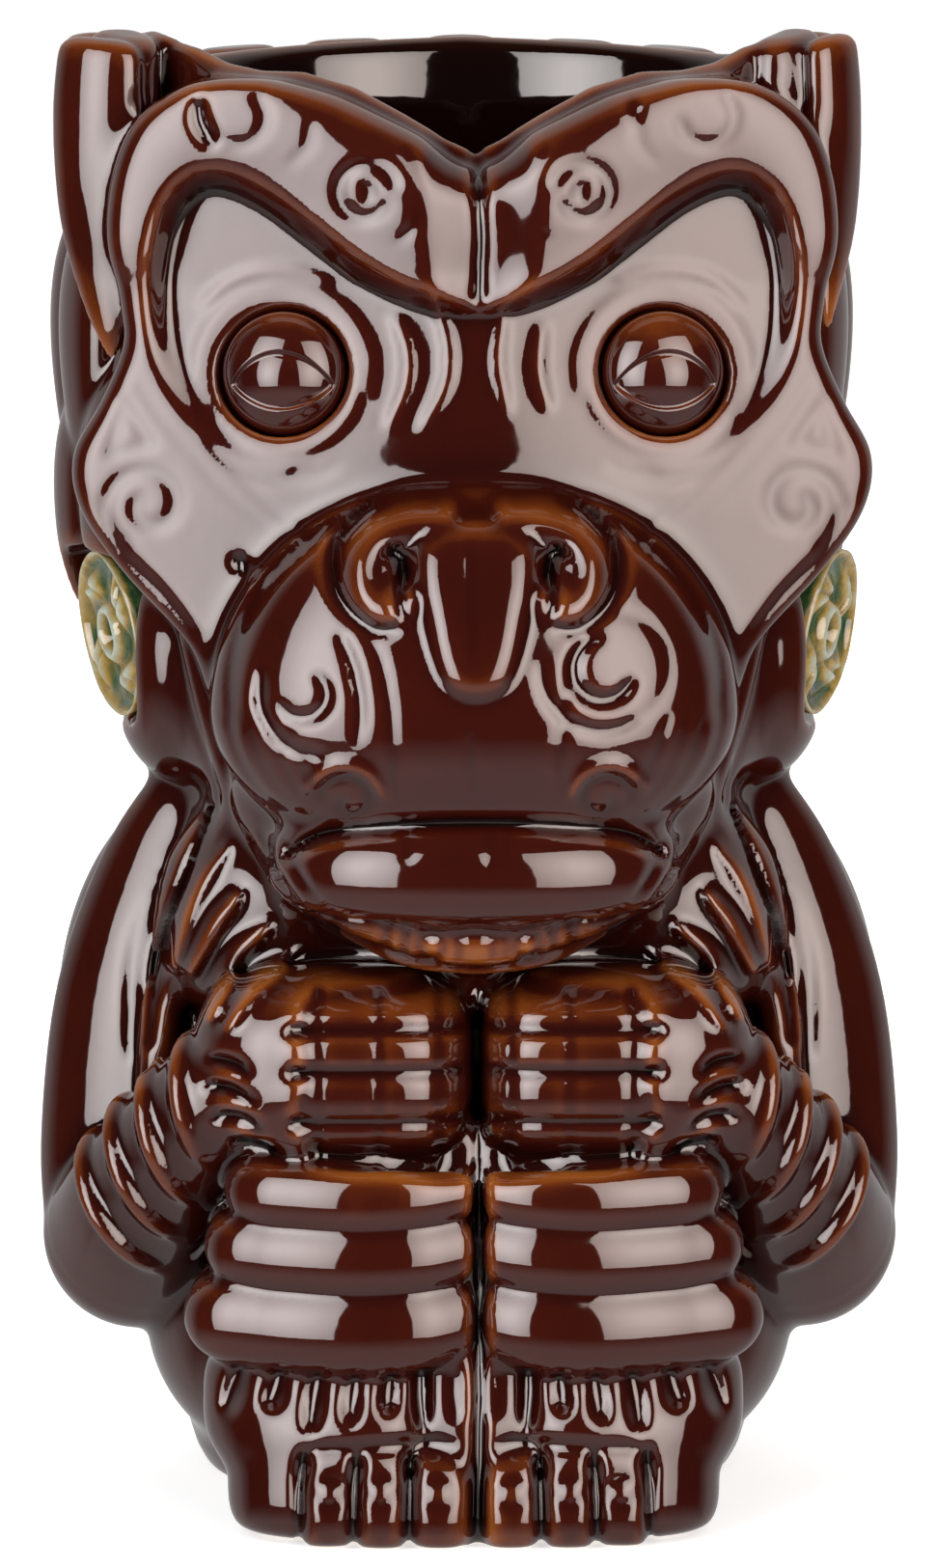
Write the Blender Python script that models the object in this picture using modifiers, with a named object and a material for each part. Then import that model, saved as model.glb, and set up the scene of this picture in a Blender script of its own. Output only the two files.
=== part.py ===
"""Tiki mug: a slip-cast stoneware mug shaped as a crouching ape with a heart-shaped mask of a face.

Metres, +Z up. The figure looks along -Y. Its clasped hands, folded legs and feet are on the same side.
The origin is the middle of the object's footprint, on the table.

The clay body is modelled the way a sculptor builds the master: plain lumps pressed together, fused and
smoothed into one skin, then hollowed. The eyeballs and the ear plugs are separate pieces of clay that
are stuck into sockets.
"""

import math

import bmesh
import bpy
from mathutils import Matrix, Vector

MM = 0.001

# Driving dimensions, in millimetres.
HEIGHT = 164.5  # table to the top of the tallest hair lock
HALF_WIDTH = 48.6  # at the elbows
HALF_DEPTH = 50.0  # to the muzzle in front, and to the hair behind
AXIS_Y = 7.0  # the drinking vessel stands behind the middle of the footprint

RIM_Z = 161.0
VESSEL_HALF_WIDTH = 39.0
VESSEL_DEPTH_SHARE = 0.93  # the vessel is a little shallower than it is wide

CAVITY_HALF_WIDTH = 33.0
CAVITY_FLOOR_Z = 8.0
CAVITY_DRAFT = 5.0  # how much narrower the drinking space is at its floor
FLOOR_FILLET = 9.0
CLAY_WALL = 5.5  # the clay's thickness round the hollows behind the muzzle and the limbs
FOOT_RECESS_DEPTH = 1.5
FOOT_RECESS_RADIUS = 20.0

FACE_Y = -35.0  # front of the mask on the middle line
FACE_CURVE_RADIUS = 95.0
MASK_BACK_Y = -16.0

EYE_X = 20.6
EYE_Z = 127.7
EYE_RADIUS = 6.8
EYE_BULGE = 4.2
EYE_SINK = 4.0  # how far the ball's middle lies behind the mask's front

PLUG_RADIUS = 9.8
PLUG_THICKNESS = 5.0
PLUG_CENTRE = (38.9, -4.0, 97.0)
PLUG_TURN = math.radians(20)  # the plug's face is turned this far from the side towards the front
PLUG_LEAN = math.radians(9)  # and this far down, because the ear tapers in towards its lobe

GAP = 0.3  # clearance round a piece in its socket
VOXEL = 1.5
BODY_TRIANGLE_SHARE = 0.06  # of the fused skin that Decimate keeps
CAVITY_TRIANGLE_SHARE = 0.05

# Half of the mask's outline as (x, z), from the notch in the brow round the cheek to the chin.
MASK_OUTLINE = [
    (0.0, 152.6),
    (8.0, 155.0),
    (16.0, 158.0),
    (25.0, 159.8),
    (33.0, 158.4),
    (38.0, 152.4),
    (39.8, 146.0),
    (39.4, 138.0),
    (37.8, 131.0),
    (40.4, 125.0),
    (43.8, 118.5),
    (42.8, 113.0),
    (38.4, 107.0),
    (32.0, 100.0),
    (26.0, 92.0),
    (14.0, 84.0),
    (0.0, 82.0),
]

# The front rim is cut to this line, again as half of an outline.
FRONT_RIM = [(0.0, 152.4), (5.0, 153.6), (14.0, 157.2), (25.0, 159.7), (34.0, RIM_Z)]
RIM_CUT_BACK_Y = -16.0

# The muzzle's dome as a centre and radii.
MUZZLE_CENTRE = (0.0, -27.0, 93.0)
MUZZLE_RADII = (28.0, 23.0, 23.5)


def clear_scene():
    for obj in list(bpy.data.objects):
        bpy.data.objects.remove(obj)


def make_collection(name):
    collection = bpy.data.collections.new(name)
    bpy.context.scene.collection.children.link(collection)
    return collection


def move_to(obj, collection):
    for old in list(obj.users_collection):
        old.objects.unlink(obj)
    collection.objects.link(obj)


def as_mesh_object(obj):
    """The object as plain mesh, with its modifiers applied and any loose caps welded."""
    bpy.context.view_layer.update()
    evaluated = obj.evaluated_get(bpy.context.evaluated_depsgraph_get())
    mesh = bpy.data.meshes.new_from_object(evaluated)
    skin = bmesh.new()
    skin.from_mesh(mesh)
    bmesh.ops.remove_doubles(skin, verts=skin.verts, dist=0.01 * MM)
    bmesh.ops.recalc_face_normals(skin, faces=skin.faces)
    skin.to_mesh(mesh)
    skin.free()
    made = bpy.data.objects.new(obj.name + "_mesh", mesh)
    bpy.context.scene.collection.objects.link(made)
    made.matrix_world = obj.matrix_world
    bpy.data.objects.remove(obj)
    return made


def ball(centre, radii, tilt=(0.0, 0.0, 0.0)):
    """An ellipsoid lump."""
    bpy.ops.mesh.primitive_uv_sphere_add(
        segments=32, ring_count=18, location=Vector(centre) * MM, rotation=tilt
    )
    lump = bpy.context.object
    lump.scale = Vector(radii) * MM
    return [lump]


def limb(points):
    """A round limb through (x, y, z, radius) points, with round ends."""
    curve = bpy.data.curves.new("limb", "CURVE")
    curve.dimensions = "3D"
    curve.bevel_depth = MM
    curve.bevel_resolution = 4
    curve.use_fill_caps = True
    spline = curve.splines.new("BEZIER")
    spline.bezier_points.add(len(points) - 1)
    for knot, (x, y, z, radius) in zip(spline.bezier_points, points):
        knot.co = Vector((x, y, z)) * MM
        knot.radius = radius
        knot.handle_left_type = "AUTO"
        knot.handle_right_type = "AUTO"
    tube = bpy.data.objects.new("limb", curve)
    bpy.context.scene.collection.objects.link(tube)
    ends = []
    for x, y, z, radius in (points[0], points[-1]):
        ends += ball((x, y, z), (radius, radius, radius))
    return [as_mesh_object(tube), *ends]


def ring(centre, axis, radius, thickness):
    """A bracelet rib round an axis."""
    turn = Vector(axis).to_track_quat("Z", "Y")
    bpy.ops.mesh.primitive_torus_add(
        major_radius=radius * MM,
        minor_radius=thickness * MM,
        major_segments=32,
        minor_segments=10,
        location=Vector(centre) * MM,
        rotation=turn.to_euler(),
    )
    return [bpy.context.object]


def slab(outline, front_y, back_y):
    """A closed outline of (x, z) points stood upright and given thickness along Y."""
    curve = bpy.data.curves.new("slab", "CURVE")
    curve.dimensions = "2D"
    curve.fill_mode = "BOTH"
    curve.extrude = (back_y - front_y) / 2 * MM
    curve.resolution_u = 5
    spline = curve.splines.new("BEZIER")
    spline.use_cyclic_u = True
    spline.bezier_points.add(len(outline) - 1)
    for knot, (x, z) in zip(spline.bezier_points, outline):
        knot.co = Vector((x, z, 0.0)) * MM
        knot.handle_left_type = "AUTO"
        knot.handle_right_type = "AUTO"
    plate = bpy.data.objects.new("slab", curve)
    bpy.context.scene.collection.objects.link(plate)
    plate.location.y = (front_y + back_y) / 2 * MM
    plate.rotation_euler.x = math.pi / 2
    return as_mesh_object(plate)


def turned(name, profile, centre_y, depth_share):
    """A shape turned from (radius, z) points, run from the top down, then squashed along Y."""
    mesh = bpy.data.meshes.new(name)
    points = [Vector((radius, 0.0, z)) * MM for radius, z in profile]
    edges = [(i, i + 1) for i in range(len(points) - 1)]
    mesh.from_pydata(points, edges, [])
    shape = bpy.data.objects.new(name, mesh)
    bpy.context.scene.collection.objects.link(shape)
    screw = shape.modifiers.new("turn", "SCREW")
    screw.steps = 64
    screw.render_steps = 64
    screw.use_merge_vertices = True
    screw.merge_threshold = 0.00001
    shape.location.y = centre_y * MM
    shape.scale.y = depth_share
    return as_mesh_object(shape)


def mirrored(half):
    """A closed outline from its +X half, which starts and ends on the middle line."""
    other = [(-x, z) for x, z in reversed(half[1:-1])]
    return [*half, *other]


def add_boolean(obj, cutter, operation="DIFFERENCE"):
    boolean = obj.modifiers.new(f"{operation.lower()} {cutter.name}", "BOOLEAN")
    boolean.operation = operation
    boolean.object = cutter
    boolean.solver = "EXACT"


def hide_as_cutter(obj, name, collection):
    obj.name = name
    obj.hide_render = True
    obj.display_type = "WIRE"
    move_to(obj, collection)
    return obj


def material(name, colour, roughness):
    made = bpy.data.materials.new(name)
    made.use_nodes = True
    shader = made.node_tree.nodes["Principled BSDF"]
    shader.inputs["Base Color"].default_value = (*colour, 1.0)
    shader.inputs["Roughness"].default_value = roughness
    shader.inputs["Metallic"].default_value = 0.0
    return made


def belly():
    """What lies behind the hands, the folded legs and the feet, so that their middle groove has a floor."""
    return limb([(0.0, -24.0, 6.0, 9.0), (0.0, -25.0, 34.0, 9.5), (0.0, -26.0, 58.0, 9.5)])


def vessel():
    """The drinking vessel that the figure is wrapped round."""
    wide = VESSEL_HALF_WIDTH
    profile = [
        (0.0, RIM_Z),
        (wide, RIM_Z),
        (wide, 94.0),
        (wide - 2.5, 81.0),
        (wide - 1.0, 60.0),
        (wide - 1.0, 34.0),
        (wide - 4.5, 14.0),
        (wide - 8.0, 2.0),
        (wide - 10.5, -1.0),
        (0.0, -1.0),
    ]
    return [turned("vessel", profile, AXIS_Y, VESSEL_DEPTH_SHARE)]


def mask():
    """The face: a thick plate with a heart-shaped outline, curved round the vessel."""
    plate = slab(mirrored(MASK_OUTLINE), FACE_Y - 8.0, MASK_BACK_Y)
    bpy.ops.mesh.primitive_cylinder_add(
        vertices=192,
        radius=FACE_CURVE_RADIUS * MM,
        depth=HEIGHT * 2 * MM,
        location=(0.0, (FACE_Y + FACE_CURVE_RADIUS) * MM, 0.0),
    )
    curve_guide = bpy.context.object
    add_boolean(plate, curve_guide, "INTERSECT")
    made = as_mesh_object(plate)
    bpy.data.objects.remove(curve_guide)
    return [made]


def brow(side):
    """The raised frame over the eye, from the root of the nose to the temple and down the cheek."""
    path = [
        (3.0, -32.6, 143.0, 4.6),
        (11.0, -32.0, 146.5, 5.0),
        (23.0, -29.8, 152.5, 5.0),
        (33.0, -26.8, 150.0, 4.2),
        (36.0, -25.6, 140.0, 3.4),
        (36.0, -25.2, 129.0, 2.4),
    ]
    return limb([(side * x, y, z, radius) for x, y, z, radius in path])


def muzzle():
    """The dome of the muzzle with its nose, lips, lower teeth and chin."""
    lumps = ball(MUZZLE_CENTRE, MUZZLE_RADII)
    lumps += ball((0.0, -25.0, 82.0), (25.0, 19.5, 18.0))
    lumps += limb([(0.0, -43.5, 111.0, 6.0), (0.0, -45.6, 103.0, 4.8), (0.0, -47.4, 96.0, 3.4)])
    for side in (-1, 1):
        lumps += ball((side * 9.6, -43.5, 104.5), (4.4, 4.4, 4.8))
    lumps += ball((0.0, -29.0, 75.0), (20.0, 15.0, 9.0))
    lumps += limb([(-12.5, -33.5, 68.0, 2.4), (0.0, -37.6, 66.6, 2.6), (12.5, -33.5, 68.0, 2.4)])
    lumps += ball((0.0, -26.0, 66.0), (20.0, 11.5, 6.5))
    return lumps


def hair():
    """Thick locks hanging from the rim round the sides and the back of the head."""
    lumps = []
    lock_count = 12
    first, last = math.radians(66), math.radians(294)  # measured from the front, round the back
    for i in range(lock_count):
        angle = first + (last - first) * i / (lock_count - 1)
        # The figure's right side of the hair, at -X, stands further out.
        reach_x = 38.6 if angle > math.pi else 35.4
        x = math.sin(angle) * reach_x
        y = AXIS_Y - math.cos(angle) * 36.0
        at_corner = i in (0, lock_count - 1)
        top = HEIGHT - 6.3 if at_corner else RIM_Z - 5.0
        tip = 110.0 if at_corner else 96.0
        belly = (top * 2 + tip * 3) / 5
        lumps += limb(
            [
                (x * 0.97, y, top, 6.4),
                (x * 1.03, AXIS_Y + (y - AXIS_Y) * 1.03, belly, 7.0),
                (x * 0.98, y, tip, 4.0),
            ]
        )
    return lumps


def ear(side):
    """The lower ear lobe, which carries the plug."""
    return ball((side * 31.2, -2.5, 96.0), (8.6, 14.5, 14.5))


def arm(side):
    """Upper arm, forearm, the bracelet ribs at the wrist and the fist."""
    elbow_x = HALF_WIDTH - 9.6
    upper = [
        (29.0, 6.0, 73.0, 10.0),
        (34.4, 5.0, 57.0, 12.6),
        (elbow_x - 2.6, 2.0, 40.0, 12.4),
        (elbow_x - 0.6, -3.0, 28.6, 10.2),
    ]
    fore = [(elbow_x - 1.0, -6.0, 28.0, 9.0), (31.0, -22.0, 39.0, 9.6), (24.0, -28.0, 48.0, 9.4)]
    lumps = limb([(side * x, y, z, radius) for x, y, z, radius in upper])
    lumps += limb([(side * x, y, z, radius) for x, y, z, radius in fore])
    wrist_axis = (side * -0.62, -0.42, 0.66)
    for share in (0.0, 0.5, 1.0):
        centre = (side * (33.4 - 7.0 * share), -20.0 - 6.0 * share, 38.6 + 6.2 * share)
        lumps += ring(centre, wrist_axis, 8.6, 2.6)
    lumps += ball((side * 15.4, -28.0, 52.3), (14.4, 13.0, 11.2))
    for knuckle_z in (59.3, 54.7, 49.9, 45.4):
        lumps += limb(
            [
                (side * 2.6, -37.0, knuckle_z, 2.6),
                (side * 12.0, -39.6, knuckle_z, 2.7),
                (side * 20.0, -36.6, knuckle_z, 2.6),
            ]
        )
    return lumps


def leg(side):
    """The folded leg as three stacked rolls, the haunch behind them, and the foot."""
    lumps = []
    rolls = [(38.6, 26.5, 3.4), (32.8, 28.4, 4.3), (24.4, 30.6, 4.9)]
    for z, reach, radius in rolls:
        lumps += limb(
            [
                (side * 3.6, -34.6, z, radius),
                (side * 15.0, -35.4, z, radius),
                (side * (reach - 5.0), -31.0, z + 0.2, radius),
                (side * (reach - radius), -24.0, z + 0.4, radius),
            ]
        )
    lumps += ball((side * 22.0, -8.0, 22.0), (16.0, 20.0, 18.0))
    lumps += ball((side * 13.4, -24.0, 12.4), (13.6, 15.4, 9.6))
    lumps += ball((side * 13.0, -25.0, 5.6), (13.0, 15.8, 7.6))
    return lumps


def fuse(lumps, name, triangle_share):
    """All lumps as one skin."""
    bpy.ops.object.select_all(action="DESELECT")
    for lump in lumps:
        lump.select_set(True)
    bpy.context.view_layer.objects.active = lumps[0]
    bpy.ops.object.join()
    body = bpy.context.object
    bpy.ops.object.transform_apply(location=True, rotation=True, scale=True)
    body.name = name
    remesh = body.modifiers.new("fuse the lumps", "REMESH")
    remesh.mode = "VOXEL"
    remesh.voxel_size = VOXEL * MM
    smooth = body.modifiers.new("smooth the joins", "SMOOTH")
    smooth.factor = 0.5
    smooth.iterations = 4
    decimate = body.modifiers.new("lighten", "DECIMATE")
    decimate.ratio = triangle_share
    return body


def drinking_space():
    """Straight oval walls that draw in a little towards a rounded floor."""
    wide = CAVITY_HALF_WIDTH
    floor_radius = wide - CAVITY_DRAFT
    top = HEIGHT + 10.0
    profile = [(0.0, top), (wide, top), (wide, RIM_Z), (wide - 1.5, 84.0)]
    steps = 5
    for step in range(steps + 1):
        angle = math.radians(90 * step / steps)
        radius = floor_radius - FLOOR_FILLET * (1 - math.cos(angle))
        profile.append((radius, CAVITY_FLOOR_Z + FLOOR_FILLET * (1 - math.sin(angle))))
    profile.append((0.0, CAVITY_FLOOR_Z))
    return [turned("drinking_space", profile, AXIS_Y, VESSEL_DEPTH_SHARE)]


def cavity_cutter(collection):
    """The hollow that draining the slip leaves: the drinking space, and the backs of the muzzle and limbs."""
    lumps = drinking_space()
    lumps += ball(MUZZLE_CENTRE, [radius - CLAY_WALL for radius in MUZZLE_RADII])
    lumps += ball((0.0, -21.0, 50.0), (21.0, 13.5, 13.0))
    lumps += ball((0.0, -20.0, 27.0), (20.0, 14.5, 13.5))
    cutter = fuse(lumps, "cavity_cutter", CAVITY_TRIANGLE_SHARE)
    return hide_as_cutter(cutter, "cavity_cutter", collection)


def rim_cutter(collection):
    """Everything over the front rim's dipping line, in front of the vessel's middle."""
    high = HEIGHT + 20.0
    half = [*FRONT_RIM, (34.0, high), (0.0, high)]
    cutter = slab_straight(mirrored(half), -HALF_DEPTH - 10.0, RIM_CUT_BACK_Y)
    return hide_as_cutter(cutter, "rim_cutter", collection)


def slab_straight(outline, front_y, back_y):
    """Like slab, with straight lines between the points."""
    skin = bmesh.new()
    corners = [skin.verts.new(Vector((x, front_y, z)) * MM) for x, z in outline]
    face = skin.faces.new(corners)
    pulled = bmesh.ops.extrude_face_region(skin, geom=[face])
    moved = [v for v in pulled["geom"] if isinstance(v, bmesh.types.BMVert)]
    bmesh.ops.translate(skin, verts=moved, vec=(0.0, (back_y - front_y) * MM, 0.0))
    bmesh.ops.recalc_face_normals(skin, faces=skin.faces)
    mesh = bpy.data.meshes.new("slab_straight")
    skin.to_mesh(mesh)
    skin.free()
    made = bpy.data.objects.new("slab_straight", mesh)
    bpy.context.scene.collection.objects.link(made)
    return made


def foot_cutters(collection):
    """The table plane, and the recess that leaves a dry foot ring."""
    thickness = 20.0
    bpy.ops.mesh.primitive_cube_add(size=1.0, location=(0.0, 0.0, -thickness / 2 * MM))
    table = bpy.context.object
    table.scale = Vector((HALF_WIDTH * 4, HALF_DEPTH * 4, thickness)) * MM
    recess_height = FOOT_RECESS_DEPTH + 4.0
    bpy.ops.mesh.primitive_cylinder_add(
        vertices=64,
        radius=FOOT_RECESS_RADIUS * MM,
        depth=recess_height * MM,
        location=(0.0, AXIS_Y * MM, (FOOT_RECESS_DEPTH - recess_height / 2) * MM),
    )
    recess = bpy.context.object
    return [
        hide_as_cutter(table, "table_cutter", collection),
        hide_as_cutter(recess, "foot_recess_cutter", collection),
    ]


def eye_frame(side):
    """The eye's place: sunk in the mask's curved front, looking straight out of it."""
    x = side * EYE_X
    angle = math.asin(x / FACE_CURVE_RADIUS)
    y = FACE_Y + FACE_CURVE_RADIUS * (1 - math.cos(angle)) + EYE_SINK
    return Matrix.Translation(Vector((x, y, EYE_Z)) * MM) @ Matrix.Rotation(angle, 4, "Z")


def eyeball(side, name, grow=0.0):
    """A flattened ball sunk in the mask, so that only its dome shows."""
    bpy.ops.mesh.primitive_uv_sphere_add(segments=32, ring_count=14)
    obj = bpy.context.object
    obj.name = name
    radii = Vector((EYE_RADIUS + grow, EYE_BULGE + grow, EYE_RADIUS + grow)) * MM
    obj.data.transform(Matrix.Diagonal((*radii, 1.0)))
    obj.matrix_world = eye_frame(side)
    obj.data.shade_smooth()
    return obj


def plug_frame(side):
    """Local +Z runs out of the ear plug's face."""
    x, y, z = PLUG_CENTRE
    level = math.cos(PLUG_LEAN)
    out = Vector(
        (side * math.cos(PLUG_TURN) * level, -math.sin(PLUG_TURN) * level, -math.sin(PLUG_LEAN))
    )
    turn = out.to_track_quat("Z", "Y").to_matrix().to_4x4()
    return Matrix.Translation(Vector((side * x, y, z)) * MM) @ turn


def ear_plug(side, name, grow=0.0):
    """A thick button: a straight wall and a domed face, turned about its own axis."""
    radius = PLUG_RADIUS + grow
    half = PLUG_THICKNESS / 2 + grow
    dome = 1.6
    profile = [(0.0, half + dome), (radius * 0.5, half + dome * 0.8), (radius - 1.0, half)]
    profile += [(radius, half - 1.0), (radius, -half), (0.0, -half)]
    obj = turned(name, profile, 0.0, 1.0)
    obj.name = name
    obj.matrix_world = plug_frame(side)
    return obj


def build():
    clear_scene()
    parts = make_collection("tiki_mug")
    cutters = make_collection("cutters")

    lumps = vessel() + belly() + mask() + muzzle() + hair()
    for side in (-1, 1):
        lumps += brow(side) + ear(side) + arm(side) + leg(side)
    body = fuse(lumps, "mug_body", BODY_TRIANGLE_SHARE)
    move_to(body, parts)
    body.data.materials.clear()
    body.data.materials.append(material("brown_glaze", (0.11, 0.028, 0.012), 0.12))

    add_boolean(body, rim_cutter(cutters))
    add_boolean(body, cavity_cutter(cutters))
    for cutter in foot_cutters(cutters):
        add_boolean(body, cutter)

    eye_glaze = material("eye_glaze", (0.13, 0.03, 0.012), 0.1)
    plug_glaze = material("jade_glaze", (0.52, 0.58, 0.42), 0.15)
    for side, word in ((-1, "right"), (1, "left")):
        eye = eyeball(side, f"eye_{word}")
        eye.data.materials.append(eye_glaze)
        move_to(eye, parts)
        socket = eyeball(side, f"eye_socket_{word}", GAP)
        add_boolean(body, hide_as_cutter(socket, socket.name, cutters))

        plug = ear_plug(side, f"ear_plug_{word}")
        plug.data.materials.append(plug_glaze)
        move_to(plug, parts)
        seat = ear_plug(side, f"ear_seat_{word}", GAP)
        add_boolean(body, hide_as_cutter(seat, seat.name, cutters))


build()
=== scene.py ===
"""Looks for the tiki mug: a glossy brown ape with a heart-shaped face, sculpted round the CAD frame.

The clay body is sculpted as a distance field on a grid: lumps of clay pressed together, carved with
relief seen from the front, softened the way a thick glaze softens clay, then hollowed. The field's
zero surface becomes the mesh. Lengths in the sculpt are millimetres at the design height, and `UNIT`
turns them into the frame's metres. The figure looks along -Y.
"""

import math
from collections import namedtuple

import bpy
import numpy as np
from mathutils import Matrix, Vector


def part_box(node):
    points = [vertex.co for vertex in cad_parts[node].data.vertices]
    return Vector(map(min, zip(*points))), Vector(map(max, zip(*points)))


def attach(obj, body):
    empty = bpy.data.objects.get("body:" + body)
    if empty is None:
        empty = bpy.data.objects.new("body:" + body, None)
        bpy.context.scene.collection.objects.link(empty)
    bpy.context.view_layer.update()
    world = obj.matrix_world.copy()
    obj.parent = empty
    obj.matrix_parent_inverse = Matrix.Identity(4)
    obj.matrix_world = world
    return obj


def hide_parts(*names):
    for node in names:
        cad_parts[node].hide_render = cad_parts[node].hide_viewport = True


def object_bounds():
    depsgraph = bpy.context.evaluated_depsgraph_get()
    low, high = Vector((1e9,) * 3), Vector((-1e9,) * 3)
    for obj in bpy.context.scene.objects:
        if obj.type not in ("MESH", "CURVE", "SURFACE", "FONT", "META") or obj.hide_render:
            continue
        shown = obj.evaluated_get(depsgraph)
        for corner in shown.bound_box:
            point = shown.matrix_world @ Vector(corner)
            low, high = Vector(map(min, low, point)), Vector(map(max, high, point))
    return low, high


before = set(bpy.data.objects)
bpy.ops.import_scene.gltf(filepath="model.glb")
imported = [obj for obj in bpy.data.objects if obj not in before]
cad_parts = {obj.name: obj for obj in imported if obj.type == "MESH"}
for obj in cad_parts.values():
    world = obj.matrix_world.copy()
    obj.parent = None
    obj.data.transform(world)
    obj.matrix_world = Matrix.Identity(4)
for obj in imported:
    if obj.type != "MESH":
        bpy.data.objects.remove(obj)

CAD_LOW, CAD_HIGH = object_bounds()

DESIGN_HEIGHT = 164.3
UNIT = (CAD_HIGH.z - CAD_LOW.z) / DESIGN_HEIGHT

CELL = 0.45  # spacing of the sculpting grid
FAR = 30.0  # the field's value well away from any clay

AXIS_Y = 7.0  # the vessel's axis
DEPTH_SHARE = 0.93  # the vessel is a little shallower than wide
FLOOR_Z = 8.0
FACE_Y = -35.2  # the front of the brow on the middle line
CHEEK_SLOPE = 0.215  # how fast the cheeks fall back from the middle line

Shape = namedtuple("Shape", "low high distance")


# ---- Curves ----


def smooth_path(points, spans=5, closed=False):
    """A Catmull-Rom curve through the points, as an array of points."""
    knots = np.array(points, float)
    if closed:
        padded = np.vstack([knots[-1:], knots, knots[:2]])
        pieces = len(knots)
    else:
        padded = np.vstack([2 * knots[0] - knots[1], knots, 2 * knots[-1] - knots[-2]])
        pieces = len(knots) - 1
    path = []
    for i in range(pieces):
        a, b, c, d = padded[i : i + 4]
        for t in np.arange(spans) / spans:
            bend = a - 2.5 * b + 2 * c - 0.5 * d
            twist = 1.5 * (b - c) + 0.5 * (d - a)
            path.append(b + t * 0.5 * (c - a) + t * t * bend + t * t * t * twist)
    if not closed:
        path.append(knots[-1])
    return np.array(path)


def spiral(centre, start_radius, end_radius, start_angle, turns):
    """Points along a scroll in a plane. Angles are in degrees, and negative turns run clockwise."""
    points = []
    steps = max(6, int(abs(turns) * 14))
    for i in range(steps + 1):
        share = i / steps
        angle = math.radians(start_angle + 360 * turns * share)
        radius = start_radius + (end_radius - start_radius) * share
        points.append((centre[0] + radius * math.cos(angle), centre[1] + radius * math.sin(angle)))
    return points


def mirrored_points(points, side):
    return [(side * point[0], *point[1:]) for point in points]


def both_sides(half):
    """A closed outline from its +X half, which starts and ends on the middle line."""
    return [*half, *((-x, z) for x, z in reversed(half[1:-1]))]


def smooth_min(a, b, blend):
    """The lower of two fields, with the crease between them filled over a width."""
    near = np.maximum(blend - np.abs(a - b), 0.0)
    return np.minimum(a, b) - near * near * (0.25 / blend)


def smooth_max(a, b, blend):
    return -smooth_min(-a, -b, blend)


def smooth_step(value, low, high):
    t = np.clip((value - low) / (high - low), 0.0, 1.0)
    return t * t * (3 - 2 * t)


def window(axes, low, high):
    """The slices of a grid inside a box, and the coordinates there, ready to broadcast."""
    where, coords = [], []
    for i, axis in enumerate(axes):
        first = np.searchsorted(axis, low[i])
        last = np.searchsorted(axis, high[i], side="right")
        where.append(slice(first, last))
        shape = [1, 1, 1]
        shape[i] = -1
        coords.append(axis[first:last].reshape(shape))
    return tuple(where), coords


# ---- Lumps of clay ----


def ball(centre, radii, axis=None, power=2.0):
    """An ellipsoid. Its first radius can run along an axis, and a power over 2 squares it off.

    power is one number, or one for each of the three radii.
    """
    middle, radii = np.array(centre, float), np.array(radii, float)
    powers = np.broadcast_to(power, 3)
    rotation = np.eye(3)
    if axis:
        rotation = np.array(Vector(axis).to_track_quat("X", "Z").to_matrix())
    reach = np.sqrt((rotation**2) @ (radii**2)) if axis else radii

    def distance(x, y, z):
        offset = (x - middle[0], y - middle[1], z - middle[2])
        scaled, steepness = 0.0, 0.0
        for i in range(3):
            along = offset[i]
            if axis:
                along = sum(rotation[j, i] * offset[j] for j in range(3))
            share = np.abs(along) / radii[i]
            scaled = scaled + share ** powers[i]
            steepness = steepness + (share / radii[i]) ** 2
        scaled = scaled ** (1 / powers.max())
        if powers.max() != 2.0:
            return (scaled - 1) * radii.min()
        return scaled * (scaled - 1) / np.maximum(np.sqrt(steepness), 1e-6)

    return Shape(middle - reach, middle + reach, distance)


def egg(centre, below, above, powers):
    """A lump with its own reach on each side of its centre, squared off by a power along each axis."""
    low, high = np.array(centre) - below, np.array(centre) + above

    def distance(x, y, z):
        total = 0.0
        for value, middle, near, far, power in zip((x, y, z), centre, below, above, powers):
            offset = value - middle
            total = total + (np.abs(offset) / np.where(offset < 0, near, far)) ** power
        return (total ** (1 / powers[1]) - 1) * below[1]

    return Shape(low, high, distance)


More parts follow.
